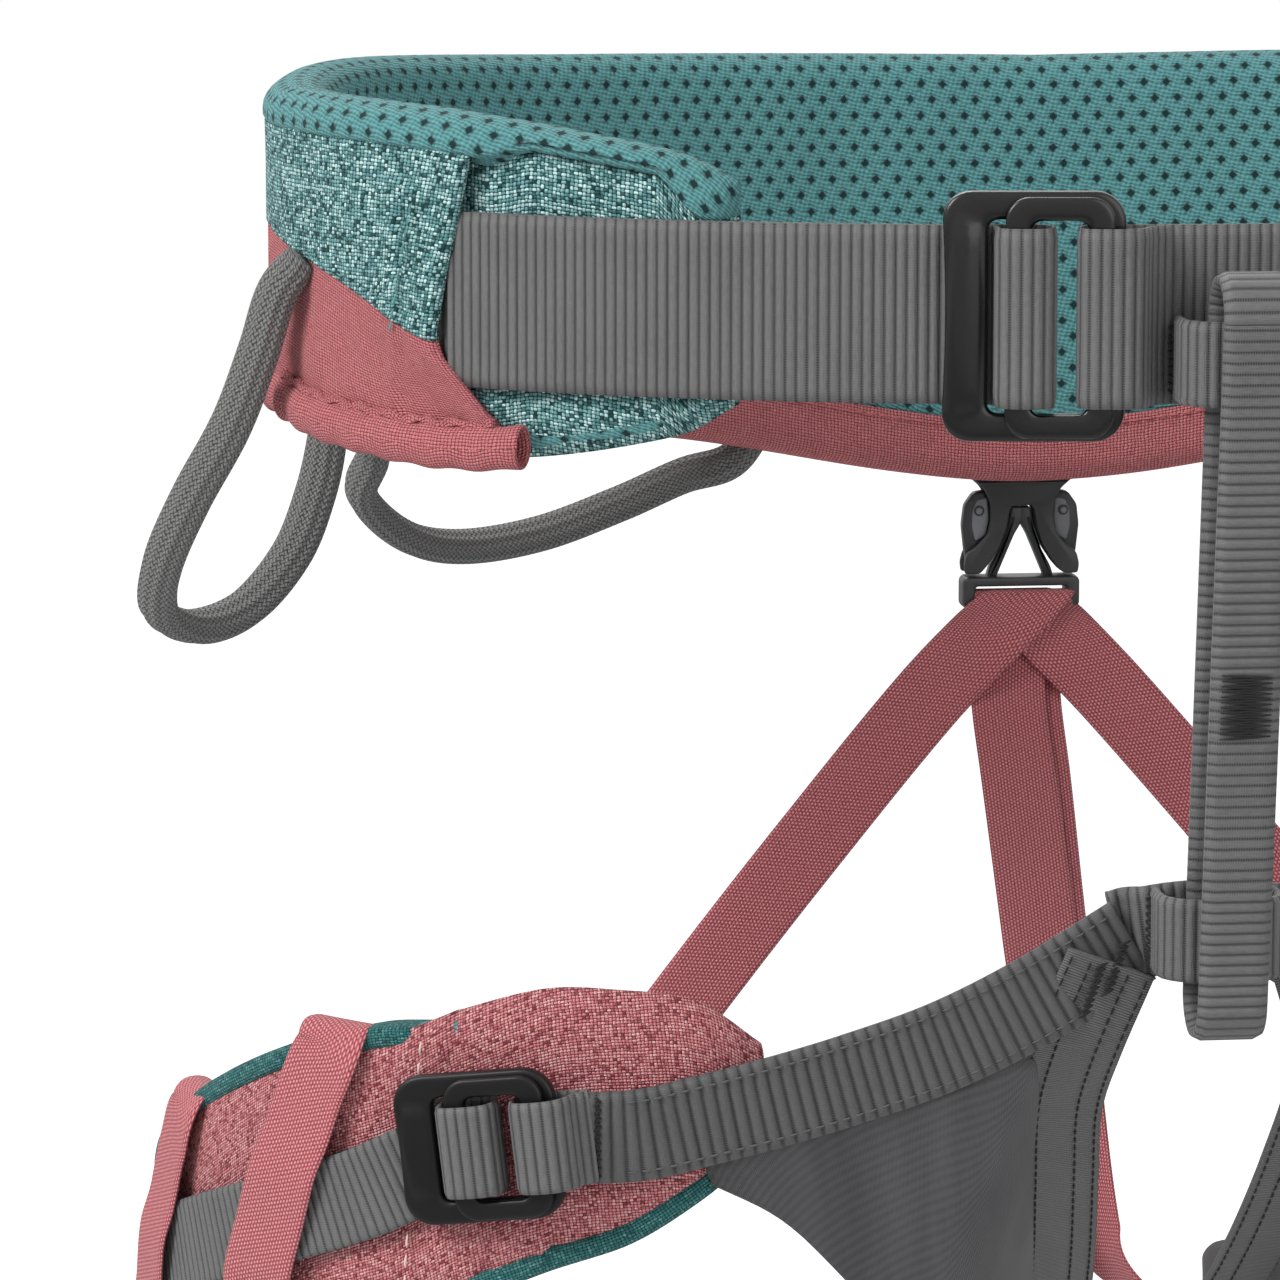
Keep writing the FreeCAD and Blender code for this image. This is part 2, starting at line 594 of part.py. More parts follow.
def leg_nodes():
    frame, slider = slide_block(LEG_MAIN_MID + STRAP_THICKNESS / 2 + GAP, LEG_FRAME, LEG_SLIDER)
    main, eye = leg_strap_and_eye()
    origin = leg_point(LEG_BUCKLE_ANGLE, 0, LEG_BUCKLE_Z)
    right = leg_point(LEG_BUCKLE_ANGLE - 90, 1) - leg_point(LEG_BUCKLE_ANGLE - 90, 0)
    half = STRAP_THICKNESS / 2
    webbing = leg_sweep(38, 198, lambda angle: [
        (LEG_MAIN_MID - half, profile(LEG_WEB_Z, angle) - LEG_WEBBING / 2),
        (LEG_MAIN_MID + half, profile(LEG_WEB_Z, angle) - LEG_WEBBING / 2),
        (LEG_MAIN_MID + half, profile(LEG_WEB_Z, angle) + LEG_WEBBING / 2),
        (LEG_MAIN_MID - half, profile(LEG_WEB_Z, angle) + LEG_WEBBING / 2)])
    left = {
        "leg_lining": leg_sweep(-13, 215, leg_lining_outline),
        "leg_foam": leg_sweep(-13, 215, leg_block(
            LEG_LINING + GAP, LEG_LINING + GAP + LEG_FOAM, LEG_LINING + 2 * GAP)),
        "leg_cover": leg_sweep(-13, 215, leg_block(LEG_COVER_IN, LEG_COVER_OUT, LEG_LINING + 2 * GAP)),
        "leg_webbing": webbing,
        "leg_strap": placed(main, origin, right, LEG_BUCKLE_TILT),
        "leg_buckle_frame": placed(frame, origin, right, LEG_BUCKLE_TILT),
        "leg_buckle_slider": placed(slider, origin, right, LEG_BUCKLE_TILT),
        "leg_eye": placed(eye, origin, right, LEG_BUCKLE_TILT),
        "leg_front_webbing": strap([(Vector(*p), UP, LEG_WEBBING) for p in FRONT_WEBBING],
                                   2 * STRAP_THICKNESS),
        "leg_inner_strip": inner_strip(),
        "leg_inner_panel": inner_panel(),
        "leg_keeper_front": keeper(41.5, 54.5, LEG_MAIN_MID + 2.2),
        "leg_keeper_rear": keeper(71, 84, LEG_MAIN_MID + 2.2),
    }
    nodes = {}
    for name, shape in left.items():
        nodes[name + "_left"] = shape
        nodes[name + "_right"] = mirrored(shape)
    return nodes


def build():
    nodes = {}
    for group in (belt_nodes, waist_buckle_nodes, tie_in_nodes, gear_loop_nodes, rear_buckle_nodes, leg_nodes):
        nodes.update(group())
    nodes["riser_left"] = riser(-1)
    nodes["riser_right"] = riser(1)
    return nodes


os.makedirs("parts", exist_ok=True)
for name, shape in build().items():
    shape.exportStep("parts/" + name + ".step")
    state = "valid" if shape.isValid() else "NOT VALID"
    print(f"{name:26s} {state} {shape.Volume / 1000:9.3f} cm3")
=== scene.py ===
import math

import bmesh
import bpy
import numpy as np
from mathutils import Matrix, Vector


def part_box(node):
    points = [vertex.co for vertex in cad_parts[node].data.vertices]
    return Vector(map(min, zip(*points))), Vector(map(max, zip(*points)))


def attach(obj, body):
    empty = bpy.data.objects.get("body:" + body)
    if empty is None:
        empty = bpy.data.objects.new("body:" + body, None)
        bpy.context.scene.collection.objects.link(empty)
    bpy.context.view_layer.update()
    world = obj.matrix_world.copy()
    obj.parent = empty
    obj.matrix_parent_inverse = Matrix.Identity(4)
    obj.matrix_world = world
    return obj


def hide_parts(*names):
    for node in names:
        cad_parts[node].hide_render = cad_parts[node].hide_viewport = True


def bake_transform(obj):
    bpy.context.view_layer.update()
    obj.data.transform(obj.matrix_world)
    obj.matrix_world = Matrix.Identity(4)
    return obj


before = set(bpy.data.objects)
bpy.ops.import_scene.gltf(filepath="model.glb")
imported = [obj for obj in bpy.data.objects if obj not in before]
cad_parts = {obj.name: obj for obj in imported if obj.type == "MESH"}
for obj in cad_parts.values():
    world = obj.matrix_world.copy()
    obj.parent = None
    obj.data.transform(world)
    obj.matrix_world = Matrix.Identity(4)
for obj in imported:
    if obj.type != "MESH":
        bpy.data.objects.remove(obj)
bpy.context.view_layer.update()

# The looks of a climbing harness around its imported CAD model. Lengths are millimetres until a
# mesh is made, and the frame is the CAD one: +Z up, the wearer faces -Y.
MM = 0.001
rng = np.random.default_rng(7)


# ---- numbers shared with the CAD model ----------------------------------------------------
def box_mm(node):
    low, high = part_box(node)
    return np.array(low) / MM, np.array(high) / MM


LINING_LOW, LINING_HIGH = box_mm("waist_lining")
LINING, FOAM, CLOTH, GAP, THICK = 3.0, 6.0, 1.2, 0.3, 1.4
FACE_IN = LINING + FOAM + 2 * GAP
LIP_OUT = FACE_IN + LINING
BELT_A = (LINING_HIGH[0] - LINING_LOW[0]) / 2 - LIP_OUT
BELT_B = LINING_HIGH[1] - LIP_OUT
TAIL_MID, MAIN_MID = 11.4, 13.1
SHELL_IN = MAIN_MID + THICK / 2 + GAP
SHELL_OUT = SHELL_IN + CLOTH
WAIST_WEBBING, LEG_WEBBING, ELASTIC = 38.0, 20.0, 20.0
BELT_TOP = [(33, 26), (37, 32), (44, 36), (60, 41), (90, 43), (112, 45.5), (140, 43.5), (180, 41)]
BELT_BOTTOM = [(33, -19), (38, -27), (54, -34), (72, -32), (90, -28), (110, -36),
               (125, -42), (150, -51), (180, -65), (210, -51)]
COLOUR_SEAM = [(54, -9), (82, 9), (110, 13), (150, 0), (180, -12), (210, 0), (250, 13)]
TONGUE_TIP, POCKET_MOUTH, HEM_FRONT, PANEL_SPLIT = 33.5, 54.0, 50.0, 90.0
WAIST_BUCKLE_ANGLE = 13.0

LEG_X, LEG_Y, LEG_R = -121.0, -2.0, 94.4
LEG_LINING, LEG_FOAM = 2.5, 4.5
LEG_COVER_IN = LEG_LINING + LEG_FOAM + 2 * GAP
LEG_COVER_OUT = LEG_COVER_IN + CLOTH
LEG_TAIL_MID = LEG_COVER_OUT + 3 * GAP + THICK / 2
LEG_MAIN_MID = LEG_TAIL_MID + THICK + GAP
LEG_TOP = [(-13, -160), (-5, -150), (5, -147), (14, -147), (28, -154.5), (49, -165), (76, -188),
           (110, -224), (150, -255), (180, -264), (215, -262)]
LEG_HEIGHT = [(-13, 22), (-5, 43), (5, 56), (20, 63), (90, 66), (180, 68), (215, 58)]
LEG_WEB_Z = [(28, -186), (38, -195), (68, -215), (90, -230), (135, -272), (180, -297),
             (215, -292), (232, -290)]
LEG_BUCKLE_ANGLE, LEG_BUCKLE_Z, LEG_BUCKLE_TILT = 20.6, -180.0, 7.0


def profile(points, x):
    """Smooth curve through (x, value) points, flat beyond the two ends, as in the CAD model."""
    xs = np.array([p[0] for p in points], float)
    ys = np.array([p[1] for p in points], float)
    slopes = np.empty(len(xs))
    slopes[1:-1] = (ys[2:] - ys[:-2]) / (xs[2:] - xs[:-2])
    slopes[0] = (ys[1] - ys[0]) / (xs[1] - xs[0])
    slopes[-1] = (ys[-1] - ys[-2]) / (xs[-1] - xs[-2])
    x = np.clip(np.asarray(x, float), xs[0], xs[-1])
    i = np.clip(np.searchsorted(xs, x, side="right") - 1, 0, len(xs) - 2)
    h = xs[i + 1] - xs[i]
    s = (x - xs[i]) / h
    return (ys[i] * (1 + 2 * s) * (1 - s) ** 2 + ys[i + 1] * s * s * (3 - 2 * s)
            + h * slopes[i] * s * (1 - s) ** 2 + h * slopes[i + 1] * s * s * (s - 1))


def smooth(x, low=0.0, high=1.0):
    s = np.clip((np.asarray(x, float) - low) / (high - low), 0, 1)
    return s * s * (3 - 2 * s)


def belt_point(t, out, z):
    """Points on the belt: t degrees round from the front, a distance out, a height."""
    a = np.radians(t)
    x, y = -BELT_A * np.sin(a), -BELT_B * np.cos(a)
    nx, ny = x / BELT_A ** 2, y / BELT_B ** 2
    size = np.hypot(nx, ny)
    z = np.broadcast_to(z, np.shape(x + out + z)) * 1.0
    return np.stack([x + nx / size * out + 0 * z, y + ny / size * out + 0 * z, z], -1)


def leg_point(angle, out, z):
    """Points on the left leg loop: degrees from its front towards the outside."""
    a = np.radians(angle)
    reach = LEG_R + out
    x, y = LEG_X - reach * np.sin(a), LEG_Y - reach * np.cos(a)
    z = np.broadcast_to(z, np.shape(x + z)) * 1.0
    return np.stack([x + 0 * z, y + 0 * z, z], -1)


# ---- mesh tools ---------------------------------------------------------------------------
def new_object(name, verts, faces, uvs, material):
    """Mesh object from millimetre points. uvs holds one (u, v) in millimetres per face corner."""
    mesh = bpy.data.meshes.new(name)
    mesh.from_pydata((np.asarray(verts) * MM).tolist(), [], faces)
    if uvs is not None:
        layer = mesh.uv_layers.new(name="cloth")
        layer.data.foreach_set("uv", np.asarray(uvs, float).ravel())
    mesh.materials.append(material)
    mesh.polygons.foreach_set("use_smooth", [True] * len(mesh.polygons))
    mesh.update()
    obj = bpy.data.objects.new(name, mesh)
    bpy.context.scene.collection.objects.link(obj)
    return obj


def skin(name, grid, material, along=None, ring=False, anchor=0):
    """Closed surface over an n by m grid of points. The last column joins the first, and with ring
    the last row joins the first too, or else both ends are capped. The cloth coordinates run along
    the rows, by the distances in along where they are given, and across from the anchor column."""
    grid = np.asarray(grid, float)
    n, m = grid.shape[:2]
    rows = np.concatenate([grid, grid[:1]]) if ring else grid
    if along is None:
        steps = np.linalg.norm(np.diff(rows, axis=0), axis=2).mean(1)
        along = np.concatenate([[0], np.cumsum(steps)])
    closed = np.concatenate([rows, rows[:, :1]], 1)
    steps = np.linalg.norm(np.diff(closed, axis=1), axis=2)
    across = np.concatenate([np.zeros((len(rows), 1)), np.cumsum(steps, 1)], 1)
    across -= across[:, anchor:anchor + 1]
    along = np.broadcast_to(np.asarray(along, float)[:, None], across.shape)
    i, j = np.meshgrid(np.arange(len(rows) - 1), np.arange(m), indexing="ij")
    i, j = i.ravel(), j.ravel()
    next_i, k = (i + 1) % n, (j + 1) % m
    faces = np.stack([i * m + j, i * m + k, next_i * m + k, next_i * m + j], 1).tolist()
    corners = ((i, j), (i, j + 1), (i + 1, j + 1), (i + 1, j))
    uvs = np.stack([np.stack([along[c], across[c]], -1) for c in corners], 1).reshape(-1, 2).tolist()
    verts = grid.reshape(-1, 3)
    if not ring:
        for row, order in ((0, -1), (n - 1, 1)):
            face = list(range(row * m, row * m + m))[::order]
            faces.append(face)
            uvs += [(verts[k][0] + verts[k][1], verts[k][2]) for k in face]
    obj = new_object(name, verts, faces, uvs, material)
    fix_normals(obj)
    return obj


def fix_normals(obj):
    """Point every face outwards."""
    work = bmesh.new()
    work.from_mesh(obj.data)
    bmesh.ops.recalc_face_normals(work, faces=work.faces)
    work.to_mesh(obj.data)
    work.free()


def run_of(path):
    """Distance of each point along a path."""
    return np.concatenate([[0], np.cumsum(np.linalg.norm(np.diff(path, axis=0), axis=1))])


def pick_points(where, at, values):
    """Points between those of a path, whose places on it are at."""
    return np.stack([np.interp(where, at, values[:, k]) for k in range(values.shape[1])], 1)


def resample(points, step):
    """Smooth curve through given points, sampled about every step, and its distances."""
    pts = np.asarray(points, float)
    chords = np.concatenate([[0], np.cumsum(np.sqrt(np.linalg.norm(np.diff(pts, axis=0), axis=1)))])
    fine = np.linspace(0, chords[-1], 40 * len(pts))
    dense = np.stack([profile(list(zip(chords, pts[:, k])), fine) for k in range(pts.shape[1])], 1)
    length = run_of(dense)
    count = max(2, int(round(length[-1] / step)))
    at = np.linspace(0, length[-1], count + 1)
    return pick_points(at, length, dense), at


FINE, PLAIN = 0.36, 0.8                    # row spacing of ribbed webbing, and of elastic


def unit(v):
    return v / np.maximum(np.linalg.norm(v, axis=-1, keepdims=True), 1e-9)


def tangents(path):
    return unit(np.gradient(path, axis=0))


def webbing(name, path, across, width, material, thick=THICK, rib=2.35, rib_depth=0.42,
            oblique=False):
    """Flat webbing along a path of close points, with rounded ribs across it and a thin selvedge.
    Its rows stand square to the path, or follow across as given where they are oblique."""
    path = np.asarray(path, float)
    across = unit(np.broadcast_to(across, path.shape))
    along = tangents(path)
    normal = unit(np.cross(along, across))
    across = across if oblique else unit(np.cross(normal, along))
    length = run_of(path)
    wave = rib_depth * (np.abs(np.sin(np.pi * length / rib)) ** 0.6 - 1) if rib else 0 * length
    s = np.linspace(-1, 1, 11)
    s = np.sign(s) * np.abs(s) ** 0.6
    flat = 1 - 0.55 * smooth(np.abs(s), 0.88, 1.0)
    half = (thick / 2 + wave[:, None] * (1 - 0.6 * smooth(np.abs(s), 0.8, 0.9))) * flat
    half = np.concatenate([half, -half[:, ::-1]], 1)
    place = np.concatenate([s, s[::-1]])
    x = np.broadcast_to(width, length.shape)[:, None] / 2 * place[None, :]
    grid = path[:, None] + across[:, None] * x[..., None] + normal[:, None] * half[..., None]
    return skin(name, grid, material, along=length)


def mirror_copy(obj, name):
    """The same piece on the wearer's other side."""
    mesh = obj.data.copy()
    mesh.name = name
    co = np.empty(len(mesh.vertices) * 3)
    mesh.vertices.foreach_get("co", co)
    co[0::3] *= -1
    mesh.vertices.foreach_set("co", co)
    mesh.flip_normals()
    mesh.update()
    twin = bpy.data.objects.new(name, mesh)
    bpy.context.scene.collection.objects.link(twin)
    return twin


# ---- materials ----------------------------------------------------------------------------
def feed(tree, socket, value):
    """Link a Wire or a socket to an input, or set the input's own value."""
    if isinstance(value, Wire):
        value = value.socket
    if isinstance(value, bpy.types.NodeSocket):
        tree.links.new(value, socket)
    else:
        socket.default_value = (*value, 1.0) if isinstance(value, tuple) else value


class Wire:
    """A node socket that can be used in arithmetic, so that a pattern reads as a formula."""

    def __init__(self, tree, socket):
        self.tree, self.socket = tree, socket

    def op(self, name, *others):
        node = self.tree.nodes.new("ShaderNodeMath")
        node.operation = name
        for slot, value in enumerate((self,) + others):
            feed(self.tree, node.inputs[slot], value)
        return Wire(self.tree, node.outputs[0])

    def __add__(self, other):
        return self.op("ADD", other)

    def __sub__(self, other):
        return self.op("SUBTRACT", other)

    def __mul__(self, other):
        return self.op("MULTIPLY", other)

    def __truediv__(self, other):
        return self.op("DIVIDE", other)

    def sin(self):
        return self.op("SINE")

    def abs(self):
        return self.op("ABSOLUTE")

    def floor(self):
        return self.op("FLOOR")

    def fract(self):
        return self.op("FRACT")

    def step_between(self, low, high):
        node = self.tree.nodes.new("ShaderNodeMapRange")
        node.interpolation_type = "SMOOTHSTEP"
        self.tree.links.new(self.socket, node.inputs["Value"])
        node.inputs["From Min"].default_value = low
        node.inputs["From Max"].default_value = high
        return Wire(self.tree, node.outputs["Result"])


class Cloth:
    """A material under construction: cloth coordinates in millimetres and a Principled shader."""

    def __init__(self, name, roughness=0.9, sheen=0.0, specular=0.25, coat=0.0):
        self.material = bpy.data.materials.new(name)
        self.material.use_nodes = True
        self.tree = self.material.node_tree
        self.shader = self.tree.nodes["Principled BSDF"]
        self.shader.inputs["Roughness"].default_value = roughness
        self.shader.inputs["Specular IOR Level"].default_value = specular
        self.shader.inputs["Sheen Weight"].default_value = sheen
        self.shader.inputs["Coat Weight"].default_value = coat
        self.shader.inputs["Coat Roughness"].default_value = 0.15

    def coordinates(self):
        node = self.tree.nodes.new("ShaderNodeUVMap")
        node.uv_map = "cloth"
        split = self.tree.nodes.new("ShaderNodeSeparateXYZ")
        self.tree.links.new(node.outputs["UV"], split.inputs[0])
        return Wire(self.tree, split.outputs[0]), Wire(self.tree, split.outputs[1])

    def place(self):
        node = self.tree.nodes.new("ShaderNodeTexCoord")
        return node.outputs["Object"]

    def vector(self, x, y, z=0.0):
        node = self.tree.nodes.new("ShaderNodeCombineXYZ")
        for slot, value in enumerate((x, y, z)):
            feed(self.tree, node.inputs[slot], value)
        return node.outputs[0]

    def noise(self, vector, scale=1.0, detail=2.0):
        node = self.tree.nodes.new("ShaderNodeTexNoise")
        self.tree.links.new(vector, node.inputs["Vector"])
        node.inputs["Scale"].default_value = scale
        node.inputs["Detail"].default_value = detail
        return Wire(self.tree, node.outputs["Fac"])

    def cloud(self, detail, x, y, z=0.0):
        """Noise over cloth coordinates, one unit across."""
        return self.noise(self.vector(x, y, z), 1.0, detail)

    def white(self, vector):
        node = self.tree.nodes.new("ShaderNodeTexWhiteNoise")
        self.tree.links.new(vector, node.inputs["Vector"])
        return Wire(self.tree, node.outputs["Value"])

    def mix(self, factor, low, high):
        node = self.tree.nodes.new("ShaderNodeMix")
        node.data_type = "RGBA"
        for slot, value in zip((0, 6, 7), (factor, low, high)):
            feed(self.tree, node.inputs[slot], value)
        return node.outputs[2]

    def finish(self, colour, height, depth, rough=None):
        """Colour, relief and its depth in metres, and the roughness where that varies."""
        self.tree.links.new(colour, self.shader.inputs["Base Color"])
        if rough is not None:
            self.tree.links.new(rough.socket, self.shader.inputs["Roughness"])
        bump = self.tree.nodes.new("ShaderNodeBump")
        bump.inputs["Distance"].default_value = depth
        bump.inputs["Strength"].default_value = 1.0
        self.tree.links.new(height.socket, bump.inputs["Height"])
        self.tree.links.new(bump.outputs[0], self.shader.inputs["Normal"])
        return self.material


def scaled(colour, factor):
    return tuple(min(1.0, c * factor) for c in colour)


def srgb(r, g, b):
    """Colour as seen on a screen, 0 to 255, in the linear values that the shader takes."""
    return tuple((c / 255 / 12.92) if c / 255 <= 0.04045 else ((c / 255 + 0.055) / 1.055) ** 2.4
                 for c in (r, g, b))


def canvas(name, dark, body, light, pitch, flecks=0.5, depth=0.00035, turn=0.0):
    """Plain weave whose threads change colour along their length, as in heathered pack cloth, with
    painted shade darkening the hollows between the threads.
    """
    cloth = Cloth(name, roughness=0.95, sheen=0.06)
    u, v = cloth.coordinates()
    wobble = cloth.cloud(1.0, u * 0.25, v * 0.25) - 0.5
    c, n = math.cos(turn), math.sin(turn)
    x = (u * c + v * n) / pitch + wobble * 0.9
    y = (v * c - u * n) / (pitch * 0.82) + wobble * 0.7
    over = ((x.floor() + y.floor()) * 0.5).fract() * 2.0
    under = over * -1.0 + 1.0
    across_x, across_y = (x * math.pi).sin().abs(), (y * math.pi).sin().abs()
    height = over * across_x * (across_y * 0.5 + 0.5) + under * across_y * (across_x * 0.5 + 0.5)
    warp = cloth.cloud(1.0, x.floor() * 7.31, y * 0.33)
    weft = cloth.cloud(1.0, x * 0.33, y.floor() * 7.31, 9.0)
    speck = cloth.white(cloth.vector(x.floor(), y.floor()))
    tone = (over * warp + under * weft - 0.5) * (2.6 * flecks) + (speck - 0.5) * (0.8 * flecks) + 0.5
    colour = cloth.mix(tone.step_between(0.42, 0.95),
                       cloth.mix(tone.step_between(0.08, 0.5), dark, body), light)
    # painted shade: where the weave relief is low, the colour falls to the dark thread colour at 40
    # percent
    with_painted_groove_shade = cloth.mix(height.step_between(0.12, 0.62), scaled(dark, 0.4), colour)
    return cloth.finish(with_painted_groove_shade, height, depth)


EYE_LONG, EYE_HIGH = 5.7, 7.8              # pitches of the eyes in the spacer mesh


def spacer_mesh(name, body, dark):
    """Knitted spacer mesh: staggered diamond eyes in a ground of fine, slanting loops. The eyes get a
    dark colour as painted shade in the holes, and the loops darken next to the eyes and in their hollows
    as painted shade.
    """
    cloth = Cloth(name, roughness=0.9, sheen=0.08)
    u, v = cloth.coordinates()
    drift = cloth.cloud(1.0, u * 0.2, v * 0.2) * 0.5
    a, b = (u + drift) / EYE_LONG, (v + drift) / EYE_HIGH

    def diamond(x, y):
        return (x.fract() - 0.5).abs() * (EYE_LONG / 1.2) + (y.fract() - 0.5).abs() * (EYE_HIGH / 1.25)

    eye = diamond(a, b).op("MINIMUM", diamond(a + 0.5, b + 0.5))
    ragged = eye + (cloth.cloud(2.0, u * 2.6, v * 2.6) - 0.5) * 0.7
    # painted shade: ground is 0 in the eyes, where the dark colour stands in for the shade inside the
    # holes
    ground = ragged.step_between(0.62, 1.12)
    # painted shade: rim stays low next to the eyes, darkening the loops round each hole
    rim = ragged.step_between(1.0, 2.3)
    # the slant and loop terms also shape the relief, so their tone is partly painted shade in the
    # hollows between loops
    slant = ((v + u * 0.22 + eye * 0.22) * (math.pi / 0.5)).sin() * 0.5 + 0.5
    loop = ((u - v * 0.3) * (math.pi / 0.62)).sin() * 0.5 + 0.5
    soft = cloth.cloud(3.0, u * 1.2, v * 1.2)
    tone = slant * 0.42 + loop * 0.2 + soft * 0.5 + rim * 0.16
    tint = cloth.mix(tone.step_between(0.2, 1.15), scaled(body, 0.5), scaled(body, 1.45))
    # the dark colour in the eyes is painted shade
    colour = cloth.mix(ground, dark, tint)
    return cloth.finish(colour, ground * (slant * 0.24 + loop * 0.12 + rim * 0.2 + 0.5), 0.0007)


def webbing_cloth(name, dark, light, rib=2.35):
    """Polyamide webbing: rounded ribs across it, with fine yarns and a row of ties between them, and
    painted shade darkening the grooves between the ribs.
    """
    cloth = Cloth(name, roughness=0.55, sheen=0.08, specular=0.4)
    u, v = cloth.coordinates()
    wave = (u * (math.pi / rib)).sin().abs()
    yarn = ((u + (v * 0.8).sin() * 0.04) * (math.pi / 0.31)).sin().abs()
    tie = ((v + wave * 0.2) * (math.pi / 0.55)).sin().abs()
    fuzz = cloth.cloud(4.0, u * 2.2, v * 0.5)
    wide = cloth.cloud(2.0, u * 0.09, v * 0.05, 3.0)
    # painted shade: this mask is 0 in the grooves between ribs, where the tone falls to the ties alone
    clear_of_groove_shade = wave.step_between(0.05, 0.75)
    tone = clear_of_groove_shade * (yarn * 0.16 + fuzz * 0.5 + wide * 0.3 + 0.35) + (clear_of_groove_shade * -1.0
                                                                         + 1.0) * tie * 0.55
    colour = cloth.mix(tone.step_between(0.1, 1.05), dark, light)
    return cloth.finish(colour, wave * 0.8 + yarn * 0.12 + fuzz * 0.2 + tie * 0.1, 0.00035)


def elastic_cloth(name, dark, body, light):
    """Woven elastic: small staggered floats with a plain selvedge."""
    cloth = Cloth(name, roughness=0.8, sheen=0.1)
    u, v = cloth.coordinates()
    x, y = u / 1.05, v / 0.8
    row = (y.floor() * 0.5).fract()
    shifted = x + row
    float_height = (shifted * math.pi).sin().abs() * (y * math.pi).sin().abs()
    fuzz = cloth.cloud(3.0, u * 1.4, v * 1.4)
    # painted shade: the colour follows the float relief, darker in the hollows between floats, with yarn
    # fuzz over it
    tone = float_height * 0.8 + fuzz * 0.45
    colour = cloth.mix(tone.step_between(0.55, 1.05), cloth.mix(tone.step_between(0.1, 0.6), dark, body),
                       light)
    return cloth.finish(colour, float_height + fuzz * 0.2, 0.00028)


def braid_cloth(name, dark, light):
    """Braided sleeve: diamonds that cross at a slant, with painted shade in the hollows between strands.
    """
    cloth = Cloth(name, roughness=0.7, sheen=0.1, specular=0.3)
    u, v = cloth.coordinates()
    p, q = (u + v * 1.4) / 1.7, (u - v * 1.4) / 1.7
    over = ((p.floor() + q.floor()) * 0.5).fract() * 2.0
    height = over * (p * math.pi).sin().abs() + (over * -1.0 + 1.0) * (q * math.pi).sin().abs()
    fuzz = cloth.noise(cloth.vector(u, v), 1.3, 3.0)
    # painted shade: the colour follows the braid relief, darker in the hollows between strands, with
    # fuzz over it
    tone = height * 0.7 + fuzz * 0.5
    colour = cloth.mix(tone.step_between(0.2, 1.0), dark, light)
    return cloth.finish(colour, height + fuzz * 0.3, 0.0003)


def stretch_cloth(name, dark, light):
    """Smooth stretch knit with a fine slanting wale."""
    cloth = Cloth(name, roughness=0.75, sheen=0.15)
    u, v = cloth.coordinates()
    wale = ((u * 0.8 + v) * (math.pi / 0.45)).sin() * 0.5 + 0.5
    course = ((u - v * 0.4) * (math.pi / 0.6)).sin() * 0.5 + 0.5
    soft = cloth.cloud(3.0, u * 0.03, v * 0.03)
    # partly painted shade: the wale and course ridges lighten the colour on their crests and darken it
    # between them, over a random tone
    colour = cloth.mix((wale * 0.3 + course * 0.15 + soft * 0.7).step_between(0.2, 0.95), dark, light)
    return cloth.finish(colour, wale * 0.6 + course * 0.4, 0.0001)


def hard(name, colour, roughness, coat=0.0, grain=0.0, specular=0.5):
    """Anodised metal or moulded plastic, with a little wear in its gloss."""
    part = Cloth(name, roughness=roughness, coat=coat, specular=specular)
    place = part.place()
    fine = part.noise(place, 900.0, 3.0)
    wide = part.noise(place, 60.0, 4.0)
    tint = part.mix(wide.step_between(0.3, 0.8), scaled(colour, 0.8), scaled(colour, 1.35))
    rough = wide * 0.12 + fine * 0.06 + (roughness - 0.09)
    return part.finish(tint, fine, grain, rough)


def thread_material(name, colour):
    part = Cloth(name, roughness=0.6, sheen=0.1)
    twist = part.noise(part.place(), 2500.0, 1.0)
    return part.finish(part.mix(twist, scaled(colour, 0.7), colour), twist, 0.0001)


TEAL = canvas("teal canvas", srgb(20, 62, 64), srgb(104, 158, 160), srgb(196, 232, 230), 1.0, 0.72)
PINK = canvas("pink canvas", srgb(160, 76, 82), srgb(204, 118, 122), srgb(222, 146, 148), 0.9, 0.2)
HEATHER = canvas("pink heathered cover", srgb(132, 58, 66), srgb(216, 130, 134), srgb(240, 178, 178),
                 0.82, 0.6, 0.0003,
                 0.12)
# the second colour is painted shade inside the mesh eyes
MESH = spacer_mesh("teal spacer mesh", srgb(84, 137, 139), srgb(14, 42, 44))
BINDING = canvas("teal binding", srgb(24, 74, 76), srgb(52, 116, 116), srgb(104, 160, 158), 0.8, 0.4,
                 0.0003)
GREY = webbing_cloth("grey webbing", srgb(34, 34, 35), srgb(106, 106, 106))
GREY_FRONT = webbing_cloth("grey front webbing", srgb(30, 30, 31), srgb(88, 88, 88), 3.0)
GREY_STRIP = webbing_cloth("grey strip webbing", srgb(50, 50, 51), srgb(108, 108, 108), 0.62)
ELASTIC_PINK = elastic_cloth("pink elastic", srgb(112, 42, 50), srgb(190, 102, 108), srgb(232, 158, 160))
BRAID = braid_cloth("gear loop braid", srgb(48, 48, 48), srgb(126, 126, 125))
KNIT = stretch_cloth("grey stretch knit", srgb(60, 60, 62), srgb(100, 100, 102))
METAL = hard("black anodised aluminium", srgb(12, 12, 13), 0.26, coat=0.2, specular=0.3)
LEG_METAL = hard("black satin aluminium", srgb(13, 13, 14), 0.4, coat=0.05, specular=0.25)
PLASTIC = hard("black moulded plastic", srgb(44, 44, 46), 0.42, grain=0.00003)
PRONG_GREY = hard("grey moulded plastic", srgb(118, 120, 124), 0.42, grain=0.00003)
THREAD_DARK = thread_material("dark thread", srgb(30, 30, 31))
THREAD_PINK = thread_material("pink thread", srgb(196, 104, 110))
THREAD_WHITE = thread_material("pale thread", srgb(244, 214, 204))
THREAD_TEAL = thread_material("teal thread", srgb(104, 156, 156))
THREAD_GREY = thread_material("grey thread", srgb(96, 96, 96))


